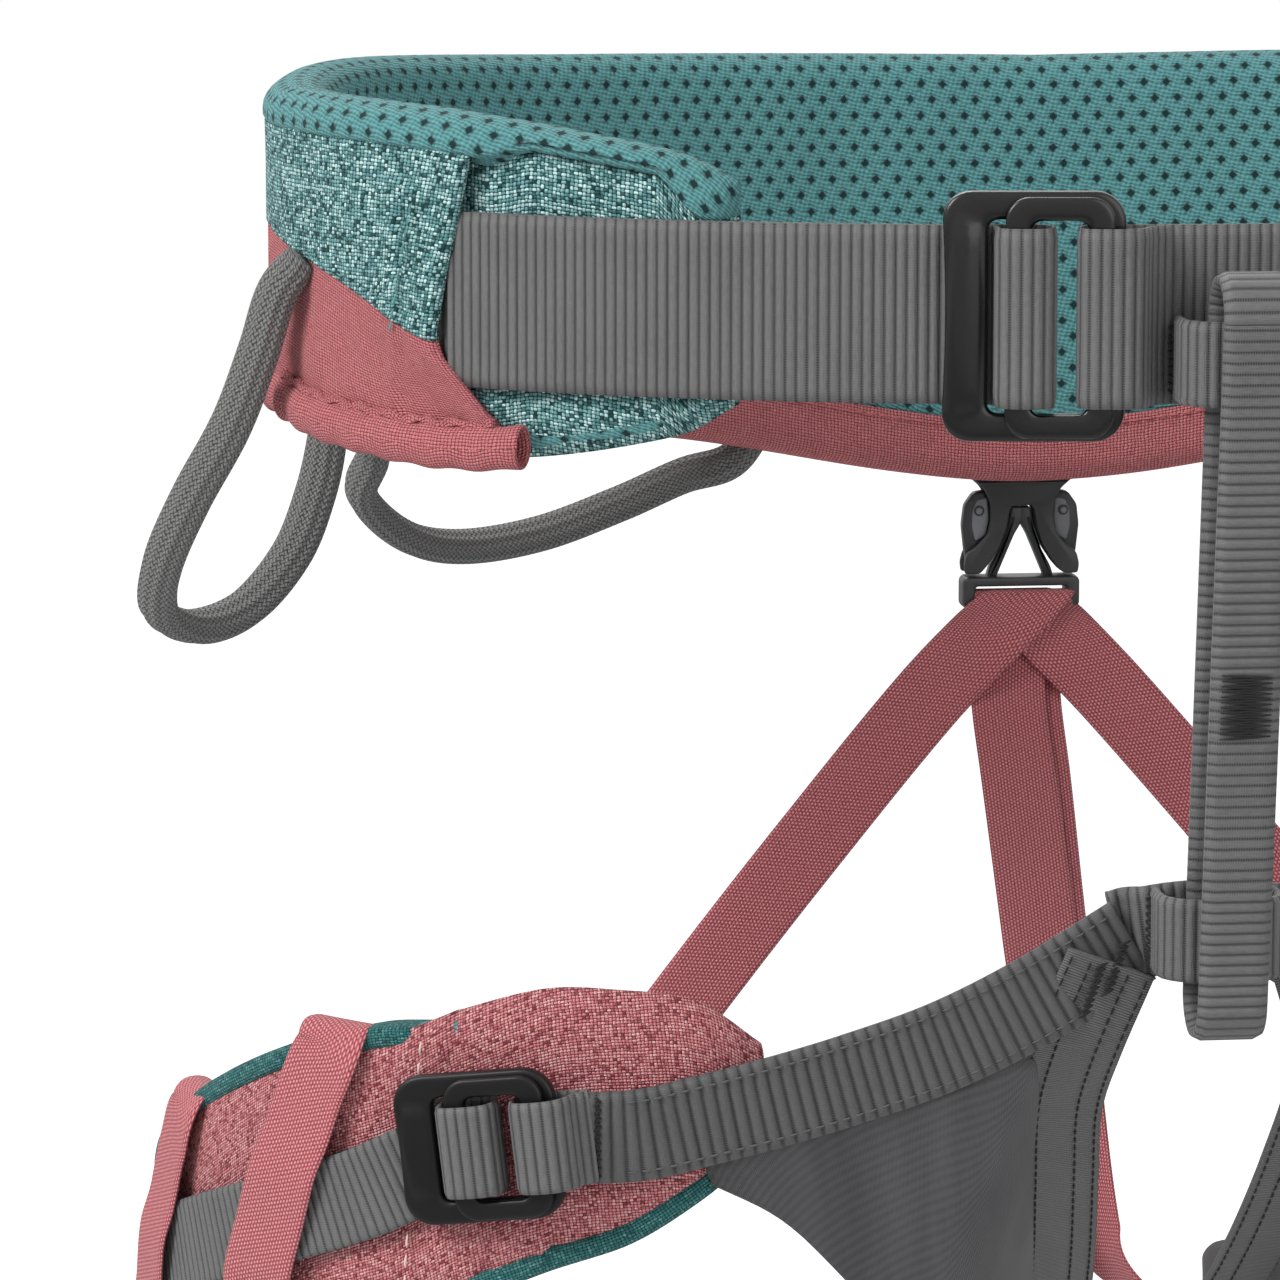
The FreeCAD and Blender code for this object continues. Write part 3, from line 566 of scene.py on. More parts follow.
# ---- fitting pieces to the frame ----------------------------------------------------------
def fit(obj, body, slot, *nodes, fill=None):
    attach(obj, body)
    if nodes:
        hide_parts(*nodes)
    return obj


def pair(obj, body, slot, *nodes, fill=None):
    """Fit a left piece, and its mirror image on the right: names swap left for right."""
    twin = mirror_copy(obj, obj.name.replace("left", "right"))
    fit(obj, body, slot, *nodes, fill=fill)
    fit(twin, body.replace("left", "right"), slot, *[n.replace("left", "right") for n in nodes],
        fill=fill)
    return obj, twin


def ripple(a, b, size, amount):
    """Soft unevenness of sewn cloth over two surface coordinates in millimetres."""
    total = 0
    for _ in range(5):
        angle, phase = rng.uniform(0, 2 * math.pi), rng.uniform(0, 2 * math.pi)
        reach = 2 * math.pi / size / rng.uniform(0.6, 1.6)
        total = total + np.sin((a * math.cos(angle) + b * math.sin(angle)) * reach + phase)
    return total * amount / 3


def thicken(out, z, thick):
    """Closed outline round an open (out, z) line per row, with its second side thick inwards."""
    line = np.stack([out, z], -1)
    along = unit(np.gradient(line, axis=1))
    normal = np.stack([along[..., 1], -along[..., 0]], -1)
    back = (line + normal * thick)[:, ::-1]
    both = np.concatenate([line, back], 1)
    return both[..., 0], both[..., 1]


def threads(name, starts, ends, normals, material, radius=0.32, lift=0.3):
    """Short round stitches, each bowed a little out of the cloth."""
    starts, ends = np.asarray(starts, float), np.asarray(ends, float)
    normals = unit(np.broadcast_to(normals, starts.shape))
    rows, sides = 5, 6
    s = np.linspace(0, 1, rows)
    along = unit(ends - starts)
    side = unit(np.cross(along, normals))
    bow = (lift * 4 * s * (1 - s))[:, None]
    centre = starts[:, None] + (ends - starts)[:, None] * s[:, None] + normals[:, None] * bow
    thin = radius * np.array([0.45, 0.9, 1.0, 0.9, 0.45])
    a = 2 * np.pi * np.arange(sides) / sides
    ring = side[:, None, :] * np.cos(a)[:, None] + normals[:, None, :] * np.sin(a)[:, None]
    verts = centre[:, :, None] + ring[:, None] * thin[:, None, None]
    faces = []
    for k in range(len(starts)):
        base = k * rows * sides
        for r in range(rows - 1):
            for q in range(sides):
                p = (q + 1) % sides
                faces.append((base + r * sides + q, base + r * sides + p,
                              base + (r + 1) * sides + p, base + (r + 1) * sides + q))
        faces.append(tuple(base + q for q in reversed(range(sides))))
        faces.append(tuple(base + (rows - 1) * sides + q for q in range(sides)))
    obj = new_object(name, verts.reshape(-1, 3), faces, None, material)
    fix_normals(obj)
    return obj


def stitch_run(name, path, normals, material, pitch=3.4, length=2.5, radius=0.32):
    """A line of even stitches along a path of close points."""
    path = np.asarray(path, float)
    normals = np.broadcast_to(normals, path.shape)
    at = run_of(path)
    begin = np.arange(pitch / 2, at[-1] - length, pitch)
    return threads(name, pick_points(begin, at, path), pick_points(begin + length, at, path),
                   pick_points(begin + length / 2, at, normals), material, radius)


def bartack(name, centre, along, across, material, length=16.0, width=2.6, turns=15, radius=0.3):
    """Dense zigzag of thread: length runs along, width across."""
    centre, along, across = (np.asarray(v, float) for v in (centre, along, across))
    along, across = unit(along), unit(across)
    x = np.linspace(-length / 2, length / 2, turns)
    sign = np.where(np.arange(turns) % 2, 1, -1)
    points = centre + along * x[:, None] + across * (sign * width / 2)[:, None]
    normal = np.cross(along, across)
    return threads(name, points[:-1], points[1:], normal, material, radius, 0.15)


def ring_section(outer, inner, thick):
    """Distances and depths of a bar's rounded section between an outer and an inner outline."""
    columns, power = 32, 5
    a = 2 * np.pi * (np.arange(columns) + 0.5) / columns
    share = 0.5 - 0.5 * np.sign(np.cos(a)) * np.abs(np.cos(a)) ** (2 / power)
    depth = thick / 2 * np.sign(np.sin(a)) * np.abs(np.sin(a)) ** (2 / power)
    flat = outer[:, None] + (inner - outer)[:, None] * share[:, None]
    return flat, np.broadcast_to(depth, flat.shape[:2]).copy()


def rounded(x0, x1, half, radius):
    """Points round a rectangle with round corners, from its lower left corner to the right."""
    side, turn = 16, 9                     # points on each straight side and round each corner
    centres = [(x0 + radius, -half + radius, 180), (x1 - radius, -half + radius, 270),
               (x1 - radius, half - radius, 360), (x0 + radius, half - radius, 450)]
    points = []
    for k, (cx, cz, start) in enumerate(centres):
        a = np.radians(start + np.linspace(0, 90, turn))
        points += list(np.stack([cx + radius * np.cos(a), cz + radius * np.sin(a)], 1))
        nx, nz, begin = centres[(k + 1) % 4]
        b = math.radians(begin)
        target = np.array([nx + radius * math.cos(b), nz + radius * math.sin(b)])
        points += [points[-1] + (target - points[-1]) * f for f in np.linspace(0, 1, side + 2)[1:-1]]
    return np.array(points)


def moulded(name, outline, y0, y1, material, bevel=0.5):
    """Moulded plate between two depths, with rounded rims, cut to an outline of (x, z) points."""
    outline = np.asarray(outline, float)
    dense = []
    for k, p in enumerate(outline):
        q = outline[(k + 1) % len(outline)]
        before = outline[k - 1]
        cut = min(0.9, np.linalg.norm(q - p) * 0.3, np.linalg.norm(before - p) * 0.3)
        a, b = p + unit(before - p) * cut, p + unit(q - p) * cut
        for f in np.linspace(0, 1, 5):
            dense.append(a * (1 - f) ** 2 + p * 2 * f * (1 - f) + b * f * f)
    dense = np.array(dense)
    along = unit(np.roll(dense, -1, 0) - np.roll(dense, 1, 0))
    normal = np.stack([along[:, 1], -along[:, 0]], 1)
    area = np.sum(dense[:, 0] * np.roll(dense[:, 1], -1) - dense[:, 1] * np.roll(dense[:, 0], -1))
    normal = normal * (1 if area > 0 else -1)
    rows = []
    for inset, depth in ((1, 0), (0.3, 0.3), (0, 1), (0, -1), (0.3, -0.3), (1, 0)):
        ring = dense - normal * inset * bevel
        y = (y0 if len(rows) < 3 else y1) + depth * bevel
        rows.append(np.stack([ring[:, 0], np.full(len(ring), y), ring[:, 1]], 1))
    return skin(name, np.array(rows), material)


# ---- camera, light and floor --------------------------------------------------------------
VIEW_AZIMUTH, VIEW_ELEVATION = math.radians(-11.2), math.radians(5.1)
VIEW_DISTANCE, AIM_RIGHT, AIM_UP = 1.5, -0.111, -0.0883      # metres; the aim is off the origin
FOCAL_LENGTH, SENSOR_WIDTH = 182.4, 36.0
LAMPS = (("key", (-1.7, -0.9, 1.2), 1.0, 44.0), ("fill", (0.9, -1.9, 0.7), 1.6, 15.0),
         ("rim", (-0.3, 1.6, 1.5), 1.2, 20.0))               # name, place, width, watts
LAMP_TARGET = Vector((0, 0, -0.08))
FLOOR_Z, FLOOR_HALF, FLOOR_GLOW = -0.95, 8.0, 0.75
BACKDROP_GLOW, ROOM_GLOW = 0.62, 0.38


def light_and_camera():
    scene = bpy.context.scene
    scene.view_settings.view_transform = "Standard"
    level = math.cos(VIEW_ELEVATION)
    eye = Vector((math.sin(VIEW_AZIMUTH) * level, -math.cos(VIEW_AZIMUTH) * level,
                  math.sin(VIEW_ELEVATION))) * VIEW_DISTANCE
    right = Vector((math.cos(VIEW_AZIMUTH), math.sin(VIEW_AZIMUTH), 0))
    up = right.cross(-eye.normalized()).normalized()
    aim = right * AIM_RIGHT + up * AIM_UP
    camera = bpy.data.objects.new("camera", bpy.data.cameras.new("camera"))
    camera.location = eye
    camera.rotation_euler = (aim - eye).to_track_quat("-Z", "Y").to_euler()
    camera.data.lens, camera.data.sensor_width = FOCAL_LENGTH, SENSOR_WIDTH
    scene.collection.objects.link(camera)
    scene.camera = camera
    for name, place, size, power in LAMPS:
        lamp = bpy.data.objects.new(name, bpy.data.lights.new(name, "AREA"))
        lamp.data.size, lamp.data.energy = size, power
        lamp.location = place
        lamp.rotation_euler = (LAMP_TARGET - Vector(place)).to_track_quat("-Z", "Y").to_euler()
        scene.collection.objects.link(lamp)
    mesh = bpy.data.meshes.new("floor")
    mesh.from_pydata([(x * FLOOR_HALF, y * FLOOR_HALF, FLOOR_Z)
                      for x, y in ((-1, -1), (1, -1), (1, 1), (-1, 1))], [], [(0, 1, 2, 3)])
    floor = bpy.data.objects.new("floor", mesh)
    scene.collection.objects.link(floor)
    paint = bpy.data.materials.new("floor")
    paint.use_nodes = True
    shader = paint.node_tree.nodes["Principled BSDF"]
    shader.inputs["Base Color"].default_value = (0.85, 0.85, 0.85, 1)
    shader.inputs["Roughness"].default_value = 0.9
    shader.inputs["Emission Color"].default_value = (1, 1, 1, 1)
    seen_ray = Wire(paint.node_tree,
                    paint.node_tree.nodes.new("ShaderNodeLightPath").outputs["Is Camera Ray"])
    paint.node_tree.links.new((seen_ray * FLOOR_GLOW).socket, shader.inputs["Emission Strength"])
    mesh.materials.append(paint)
    world = bpy.data.worlds.new("studio")
    world.use_nodes = True
    scene.world = world
    tree = world.node_tree
    path = tree.nodes.new("ShaderNodeLightPath")
    seen = Wire(tree, path.outputs["Is Camera Ray"]).op("MAXIMUM",
                                                        Wire(tree, path.outputs["Is Transmission Ray"]))
    seen = seen.op("MAXIMUM", Wire(tree, path.outputs["Is Glossy Ray"]))
    strength = seen * BACKDROP_GLOW + ROOM_GLOW
    tree.links.new(strength.socket, tree.nodes["Background"].inputs["Strength"])
    tree.nodes["Background"].inputs["Color"].default_value = (1, 1, 1, 1)


# ---- waist belt ---------------------------------------------------------------------------
MM_PER_DEGREE = 2.85                       # along the belt, near the tongue tips
MOUTH = [(-40, 49.6), (-31, 51.0), (-20, 55.0), (-11, 58.2), (-2, 58.0), (36, 54.4)]


def folded(t):
    return np.where(t <= 180, t, 360 - t)


def round_the_belt():
    """Angles from tongue tip to tongue tip, closer together where the tips are rounded off."""
    tip = TONGUE_TIP + np.array([0, 0.15, 0.5, 1.1, 2.0, 3.2, 4.6, 6.2, 8.0]) / MM_PER_DEGREE
    middle = np.arange(tip[-1] + 1.0, 180, 1.0)
    half = np.concatenate([tip, middle])
    return np.concatenate([half, [180.0], 360 - half[::-1]])


def tip_share(t, reach=8.0):
    """1 along the belt, falling to 0 at the very tips along a quarter circle."""
    d = np.clip((folded(t) - TONGUE_TIP) * MM_PER_DEGREE / reach, 0, 1)
    return np.sqrt(np.clip(1 - (1 - d) ** 2, 0.0004, 1))


def join_columns(*parts):
    """Columns of a section: each part is (out, z), with one value per row or one per column."""
    outs, heights = [], []
    for out, z in parts:
        out, z = np.broadcast_arrays(out, z)
        outs.append(out)
        heights.append(z)
    return np.concatenate(outs, 1), np.concatenate(heights, 1)


LINING_LIFT = [(33, 0), (60, 0), (84, 0), (90, 13.5), (96, 13.5), (180, 13.5)]


def lip_drop(f):
    """How far the lining comes down over the front: more near the tip, where it wraps round it."""
    top = profile(BELT_TOP, f)
    return np.maximum(4.6 + 3.4 * smooth(f, 49, 54.5), (top - 19.3) * (1 - smooth(f, 35.5, 41)))


def waist_lining():
    t = round_the_belt()[:, None]
    f = folded(t)
    top, low = profile(BELT_TOP, f), profile(BELT_BOTTOM, f) + profile(LINING_LIFT, f)
    lip = 11.2 + 1.4 * smooth(f, 36, 44) + 3.4 * smooth(f, 50, 57)
    drop = lip_drop(f)
    roll = np.minimum(8.0, drop * 0.8)
    arc = np.radians(np.linspace(180, 0, 15))[None, :]
    wall = np.linspace(0, 1, 14)[None, :-1]
    foot = np.radians(np.linspace(0, -180, 9))[None, :]
    back = FACE_IN - 0.4
    out, z = join_columns(
        (0 * wall, low + 5 + (top - roll - low - 5) * wall),
        (lip / 2 + lip / 2 * np.cos(arc), top - roll + roll * np.sin(arc)),
        (lip, top - drop + np.array([[1.2, 0.3]])),
        (lip - np.array([[0.5, 1.6, 3.0]]), top - drop - np.array([[0.4, 0.9, 1.2]])),
        (back, top - drop - 3 + (low + 5 - top + drop + 3) * np.array([[0.0, 0.3, 0.6, 0.9]])),
        (back / 2 + back / 2 * np.cos(foot[:, 1:-1]), low + 5 + 5 * np.sin(foot[:, 1:-1])))
    soft = smooth(f, TONGUE_TIP, TONGUE_TIP + 6)
    out = out + ripple(t * 3.0, z, 34, 0.45) * soft
    share = tip_share(t)
    out = lip * 0.45 + (out - lip * 0.45) * share
    grid = belt_point(t, out, z)
    lining = skin("waist_lining_mesh", grid, MESH, anchor=20)
    return fit(lining, "harness", "mesh_lining", "waist_lining", "waist_foam", fill=0.8)


def tongue_left():
    t = round_the_belt()[:, None]
    t = t[t[:, 0] < 66]
    top = profile(BELT_TOP, t) - lip_drop(t)
    low = profile(BELT_BOTTOM, t)
    s = np.linspace(0, 1, 22)[None, :]
    z = top + 0.4 + (low - 1.2 - top) * s
    fall = 3.2 * smooth(s, 0.86, 1.0) ** 1.4
    out = FACE_IN + 0.75 - fall - 0.5 * smooth(s, 0.05, 0.0) + ripple(t * 3.0, z, 22, 0.22)
    out, z = thicken(out, z, 1.1)
    out = 5.6 + (out - 5.6) * tip_share(t, 5.0)
    pair(skin("tongue_canvas_left", belt_point(t, out, z), TEAL), "harness", "teal_canvas",
         "tongue_face_left")


GATHER_ANGLE = 62.3                        # gathered seam behind the pocket mouth


def from_mouth(end):
    """Angles from the pocket mouth backwards, closer together where the edge is folded."""
    return np.concatenate([POCKET_MOUTH + np.array([0, 0.12, 0.35, 0.7]), np.arange(55.2, end, 0.75)])


def skewed(t, z):
    """Slant the rows next to a pocket mouth so that the edge follows the mouth's line."""
    f = folded(t)
    shift = (profile(MOUTH, z) - POCKET_MOUTH) * (1 - smooth(f, POCKET_MOUTH, 74))
    return t + np.where(t <= 180, shift, -shift)


def outer_wall(t, z, rim):
    """Distance out of the canvas: folded over at the pocket mouth, with a gathered seam behind."""
    f = folded(skewed(t, z))
    edge = (f - profile(MOUTH, z)) * 2.4
    fold = 0.9 * (1 - smooth(edge, 1.0, 11.0)) - 1.5 * (1 - smooth(edge, 0, 1.6)) ** 2
    seam = f - GATHER_ANGLE - z * 0.004
    pinch = -0.75 * np.exp(-(seam / 0.32) ** 2) + 0.45 * np.sin(z * 0.62) * np.exp(-(seam / 1.7) ** 2)
    pinch = pinch + 0.35 * np.exp(-((seam - 1.0) / 0.8) ** 2)
    return SHELL_OUT + fold + pinch * smooth(rim, 0.0, 6.0) + ripple(t * 3.0, z, 30, 0.3)


def mouth_cloth(t, out, z):
    """Both faces of a canvas whose front edge follows the pocket mouth."""
    angle = skewed(t, z)
    out, z = thicken(out, z, CLOTH)
    return belt_point(np.concatenate([angle, angle[:, ::-1]], 1), out, z)


def outer_canvas():
    f0 = from_mouth(180)
    t = np.concatenate([f0, [180.0], 360 - f0[::-1]])[:, None]
    f = folded(t)
    top = profile(BELT_TOP, f) - 8.1
    low = profile(COLOUR_SEAM, f) - 0.4
    s = np.linspace(0, 1, 34)[None, :]
    z = top + (low - top) * s
    out = outer_wall(t, z, top - z) - 0.5 * smooth(s, 0.03, 0.0)
    fit(skin("outer_canvas", mouth_cloth(t, out, z), TEAL), "harness", "teal_canvas",
        "waist_outer_shell")
    for side in (1, -1):
        z = np.linspace(22, -8, 60)
        start = profile(MOUTH, z) + 4.6
        t = start if side > 0 else 360 - start
        path = belt_point(t, SHELL_OUT + 0.75, z)
        name = "mouth_stitch_left" if side > 0 else "mouth_stitch_right"
        fit(stitch_run(name, path, belt_point(t, 1, z) - belt_point(t, 0, z), THREAD_TEAL, 3.0, 2.3,
                       0.26),
            "harness", "teal_canvas")


def pink_panels():
    """Lower panel of the belt: one stretch on each side above the hem and one round the back."""
    t = from_mouth(91)[:, None]
    seam, low = profile(COLOUR_SEAM, t), profile(BELT_BOTTOM, t) + 4.5
    s = np.linspace(0, 1, 24)[None, :]
    z = seam + (low - seam) * s
    out = outer_wall(t, z, 9 + 0 * z) - 0.45 + ripple(t * 3.0, z, 16, 0.35)
    out = out - 1.1 * smooth(s, 0.72, 1.0)
    pair(skin("pocket_canvas_left", mouth_cloth(t, out, z), PINK), "harness", "pink_canvas",
         "pocket_panel_left")

    t = np.arange(PANEL_SPLIT, 270.01, 1.5)[:, None]
    f = folded(t)
    seam, low = profile(COLOUR_SEAM, f), profile(BELT_BOTTOM, f)
    s = np.linspace(0, 1, 16)[None, :]
    foot = np.radians(np.linspace(0, -180, 13))[None, 1:-1]
    half = SHELL_OUT / 2
    out, z = join_columns(
        (SHELL_OUT - 0.3, seam + (low + 5 - seam) * s),
        (half + half * np.cos(foot), low + 5 + 5 * np.sin(foot)),
        (-0.5 + 0 * s[:, :7], low + 5 + 11.0 * np.linspace(0, 1, 7)[None, :]))
    out = out + ripple(t * 3.0, z, 40, 0.35)
    out, z = thicken(out, z, 1.1)
    fit(skin("lower_canvas", belt_point(t, out, z), PINK), "harness", "pink_canvas", "waist_lower_panel")
    t = np.arange(92, 268, 0.5)
    z = profile(BELT_BOTTOM, folded(t)) + 14.2
    fit(stitch_run("lower_panel_stitch", belt_point(t, -0.75, z),
                   belt_point(t, -1, z) - belt_point(t, 0, z),
                   THREAD_PINK, 3.2, 2.4, 0.26), "harness", "pink_canvas")


def hem_roll():
    """Rolled tube along the pocket's lower edge, open at its front end, gathered at its rear."""
    a = 2 * np.pi * np.arange(30)[None, :] / 30
    t = np.concatenate([np.arange(90.5, HEM_FRONT + 0.6, -0.6), HEM_FRONT + np.array([0.35, 0.1, 0.0])])
    outside = np.ones(len(t))
    outside[-3:] = (0.99, 0.95, 0.88)
    back_in = HEM_FRONT + np.array([0.12, 0.5, 1.2, 2.6, 4.0])
    t = np.concatenate([t, back_in])[:, None]
    share = np.concatenate([outside, [0.8, 0.76, 0.74, 0.72, 0.6]])[:, None]
    low = profile(BELT_BOTTOM, t) - 3
    wrinkle = 0.35 * np.sin(t * 2.1 + 1.2 * np.sin(a)) * smooth(t, 76, 90) + 0.25 * np.sin(t * 1.3 + 2
                                                                                           * np.cos(a))
    pinch = 0.5 * np.exp(-((t - 84) / 1.3) ** 2) + 0.35 * np.exp(-((t - 80) / 0.8) ** 2)
    middle, half_out, half_z = (FACE_IN + SHELL_OUT + 3.2) / 2, 3.6 - pinch, 4.9 - 0.4 * pinch
    out = middle + (half_out * np.cos(a) + wrinkle * np.cos(a)) * share
    z = low + 5 + (half_z * np.sin(a) + wrinkle * np.sin(a)) * share
    pair(skin("hem_roll_left", belt_point(t, out, z), PINK), "harness", "pink_canvas", "pocket_hem_left")
    t = np.arange(52.5, 83, 0.4)
    z = profile(BELT_BOTTOM, t) + 7.3 + 0.35 * np.sin(t * 1.7)
    out = SHELL_OUT - 0.6 + 0.25 * np.sin(t * 2.3)
    path = belt_point(t, out, z)
    normal = belt_point(t, out + 1, z) - path
    ridge = webbing("hem_ridge_left", path, [0, 0, 1.0], 1.7 + 0.5 * np.sin(t * 2.9), PINK, thick=1.7,
                    rib=0)
    pair(ridge, "harness", "pink_canvas")
    pair(stitch_run("hem_stitch_left", path + [0, 0, -1.1], normal, THREAD_PINK, 3.3, 2.5, 0.34),
         "harness",
         "pink_canvas")
    t = np.arange(59, 88, 0.4)
    path = belt_point(t, SHELL_OUT + 0.1, profile(COLOUR_SEAM, t) + 0.9)
    pair(stitch_run("seam_stitch_left", path, normal[0], THREAD_TEAL, 3.0, 2.2, 0.2), "harness",
         "teal_canvas")


def waist_webbing_ring():
    t = np.arange(62, 298.01, 1.0)
    fit(webbing("belt_webbing", belt_point(t, MAIN_MID, 0), [0, 0, 1], WAIST_WEBBING, GREY, rib=0),
        "harness", "grey_webbing", "waist_webbing")


# ---- slide-block buckles ------------------------------------------------------------------
def seat_at(origin, right, normal, tilt=0.0):
    """Function that turns local (x, out, z) at a buckle into points of the frame."""
    c, s = math.cos(math.radians(tilt)), math.sin(math.radians(tilt))

    def place(x, out, z):
        x, out, z = np.broadcast_arrays(x, out, z)
        level, high = x * c - z * s, x * s + z * c
        return (origin + level[..., None] * right + out[..., None] * normal
                + high[..., None] * np.array([0, 0, 1.0]))

    return place


WAIST_ORIGIN = belt_point(WAIST_BUCKLE_ANGLE, 0, 0.0)
WAIST_NORMAL = unit(belt_point(WAIST_BUCKLE_ANGLE, 1, 0.0) - WAIST_ORIGIN)
waist_seat = seat_at(WAIST_ORIGIN, np.array([-WAIST_NORMAL[1], WAIST_NORMAL[0], 0]), WAIST_NORMAL)
LEG_ORIGIN = leg_point(LEG_BUCKLE_ANGLE, 0, LEG_BUCKLE_Z)
LEG_NORMAL = unit(leg_point(LEG_BUCKLE_ANGLE, 1, LEG_BUCKLE_Z) - LEG_ORIGIN)
leg_seat = seat_at(LEG_ORIGIN, np.array([-LEG_NORMAL[1], LEG_NORMAL[0], 0]), LEG_NORMAL, LEG_BUCKLE_TILT)


def bar_ring(name, seat, size, near, material, corner, crescent=0.0, waist=0.0):
    """Closed buckle ring: size is (x0, x1, half height, left bar, right bar, rail, thickness)."""
    x0, x1, half, left, right, rail, thick = size
    outer = rounded(x0, x1, half, corner)
    inner = rounded(x0 + left, x1 - right, half - rail, min(corner * 0.45, 2.2))
    edge = smooth(-outer[:, 0], -x0 - 2.5, -x0)
    outer[:, 0] += waist * edge * (1 - (outer[:, 1] / half) ** 2)
    flat, depth = ring_section(outer, inner, thick)
    x, z = flat[..., 0], flat[..., 1]
    if crescent:
        bend = (z / half) ** 2
        from_edge = x - (x0 + 1.2 + 2.6 * bend)
        to_window = (x0 + left - 1.3 - 1.2 * bend) - x
        raised = smooth(from_edge, 0, 1.3) * smooth(to_window, 0, 1.0) * smooth(half - 5.5 - np.abs(z),
                                                                                0, 3.0)
        depth = np.where(depth > 0, depth + crescent * raised, depth)
    return skin(name, seat(x, near + thick / 2 + depth, z), material, ring=True)


WAIST_FRAME = (-20.0, 19.0, 26.5, 10.0, 6.0, 6.0, 4.0)
WAIST_SLIDER = (-6.5, 16.5, 25.5, 5.5, 5.5, 5.0, 3.0)
LEG_FRAME = (-18.5, 18.0, 16.5, 9.0, 5.5, 5.0, 3.5)
LEG_SLIDER = (-6.0, 16.0, 15.5, 4.5, 5.0, 4.0, 2.5)


def waist_buckles():
    near = SHELL_IN + 0.1
    frame_ring = bar_ring("waist_buckle_frame_left.gloss", waist_seat, WAIST_FRAME, near, METAL, 6.5,
                          0.7, 1.0)
    pair(frame_ring, "harness", "buckle_metal", "waist_buckle_frame_left")
    slider = bar_ring("waist_buckle_bar_left.gloss", waist_seat, WAIST_SLIDER,
                      near + WAIST_FRAME[6] + GAP, METAL, 5.0)
    pair(slider, "waist_slider_left", "buckle_metal", "waist_buckle_slider_left")

    line = [belt_point(t, TAIL_MID, 0.0) for t in np.arange(72, 16.5, -5)]
    line += [waist_seat(x, out, 0.0) for x, out in (
        (-4, 11.3), (0.7, 11.5), (3.4, 13.6), (3.9, 17.2), (3.4, 21.0), (0.6, 22.9),
        (-4.4, 22.9), (-7.5, 21.2), (-8.1, 17.6), (-8.3, 15.4), (-9.7, 13.5))]
    line += [belt_point(t, MAIN_MID + 0.1, 0.0) for t in np.arange(17.4, 62, 5)]
    path, _ = resample(line, FINE)
    pair(webbing("waist_strap_webbing_left", path, [0, 0, 1], WAIST_WEBBING, GREY), "harness",
         "grey_webbing",
         "waist_strap_left")

    eye = [waist_seat(x, out, 0.0) for x, out in (
        (20, 11.5), (14.2, 11.8), (10.5, 13.2), (9.5, 16.2), (9.4, 20.0), (11.0, 22.6),
        (15.2, 23.1), (19.2, 22.9), (22.2, 21.0), (23.7, 17.6), (25.4, 14.8))]
    left = [belt_point(t, TAIL_MID, 0.0) for t in (0.2, 1.2, 2.6, 4.4)] + eye
    left += [belt_point(t, MAIN_MID, 0.0) for t in (4.2, 2.8, 1.4, 0)]
    line = left + [p * [-1, 1, 1] for p in reversed(left[:-1])]
    path, _ = resample(line, FINE)
    fit(webbing("centre_webbing_band", path, [0, 0, 1], WAIST_WEBBING, GREY), "harness", "grey_webbing",
        "centre_webbing")
    at = belt_point(5.4, MAIN_MID + 1.0, 0.0)
    normal = belt_point(5.4, MAIN_MID + 2.0, 0.0) - at
    pair(bartack("waist_bartack_left", at, [0, 0, 1], np.cross([0, 0, 1], normal), THREAD_DARK, 34, 2.4,
                 41, 0.34),
         "harness", "grey_webbing")


# ---- gear loops ---------------------------------------------------------------------------
FRONT_GEAR_LOOP = [(-197, -30, -2), (-201, -28, -15), (-207, -23, -32), (-216, -15, -50),
                   (-222, -6, -66), (-222, 4, -78), (-213, 14, -83), (-201, 24, -80),
                   (-190, 33, -69), (-184, 39, -56), (-181, 41, -43.5)]
REAR_GEAR_LOOP = [(-168.5, 58, -48), (-171, 66, -59), (-160, 79, -71), (-145, 93, -76),
                  (-124, 107, -75), (-103, 116, -69), (-87, 118, -62.5), (-76, 113, -58.5)]


def gear_loops():
    """Stiffened braided tubes, a little flat, with the cords inside showing as lengthwise ridges."""
    a = 2 * np.pi * np.arange(48) / 48
    for name, route in (("front", [(-191.5, -32, 6)] + FRONT_GEAR_LOOP + [(-180.5, 38.5, -31)]),
                        ("rear", [(-171, 51, -33)] + REAR_GEAR_LOOP + [(-69, 110.5, -50)])):
        path, length = resample(route, 1.1)
        along = tangents(path)
        plane = unit(np.cross(path[-1] - path[0], path[len(path) // 2] - path[0]))
        wide = unit(plane - along * (along @ plane)[:, None])
        thin = np.cross(along, wide)
        radius = 1 + 0.07 * np.cos(10 * a)
        ends = 1 - 0.25 * np.exp(-length / 4) - 0.25 * np.exp(-(length[-1] - length) / 4)
        x, y = 4.7 * np.cos(a) * radius, 3.5 * np.sin(a) * radius
        x, y = (x * ends[:, None])[..., None], (y * ends[:, None])[..., None]
        grid = path[:, None] + wide[:, None] * x + thin[:, None] * y
        pair(skin(f"gear_loop_{name}_braid_left", grid, BRAID, along=length), f"gear_loop_{name}_left",
             "gear_loop_braid", f"gear_loop_{name}_left")


# ---- rear buckle, its tab and the risers --------------------------------------------------
REAR_BUCKLE_Y = 130.5


def both_sides(outline):
    return outline + [(-x, z) for x, z in reversed(outline)]


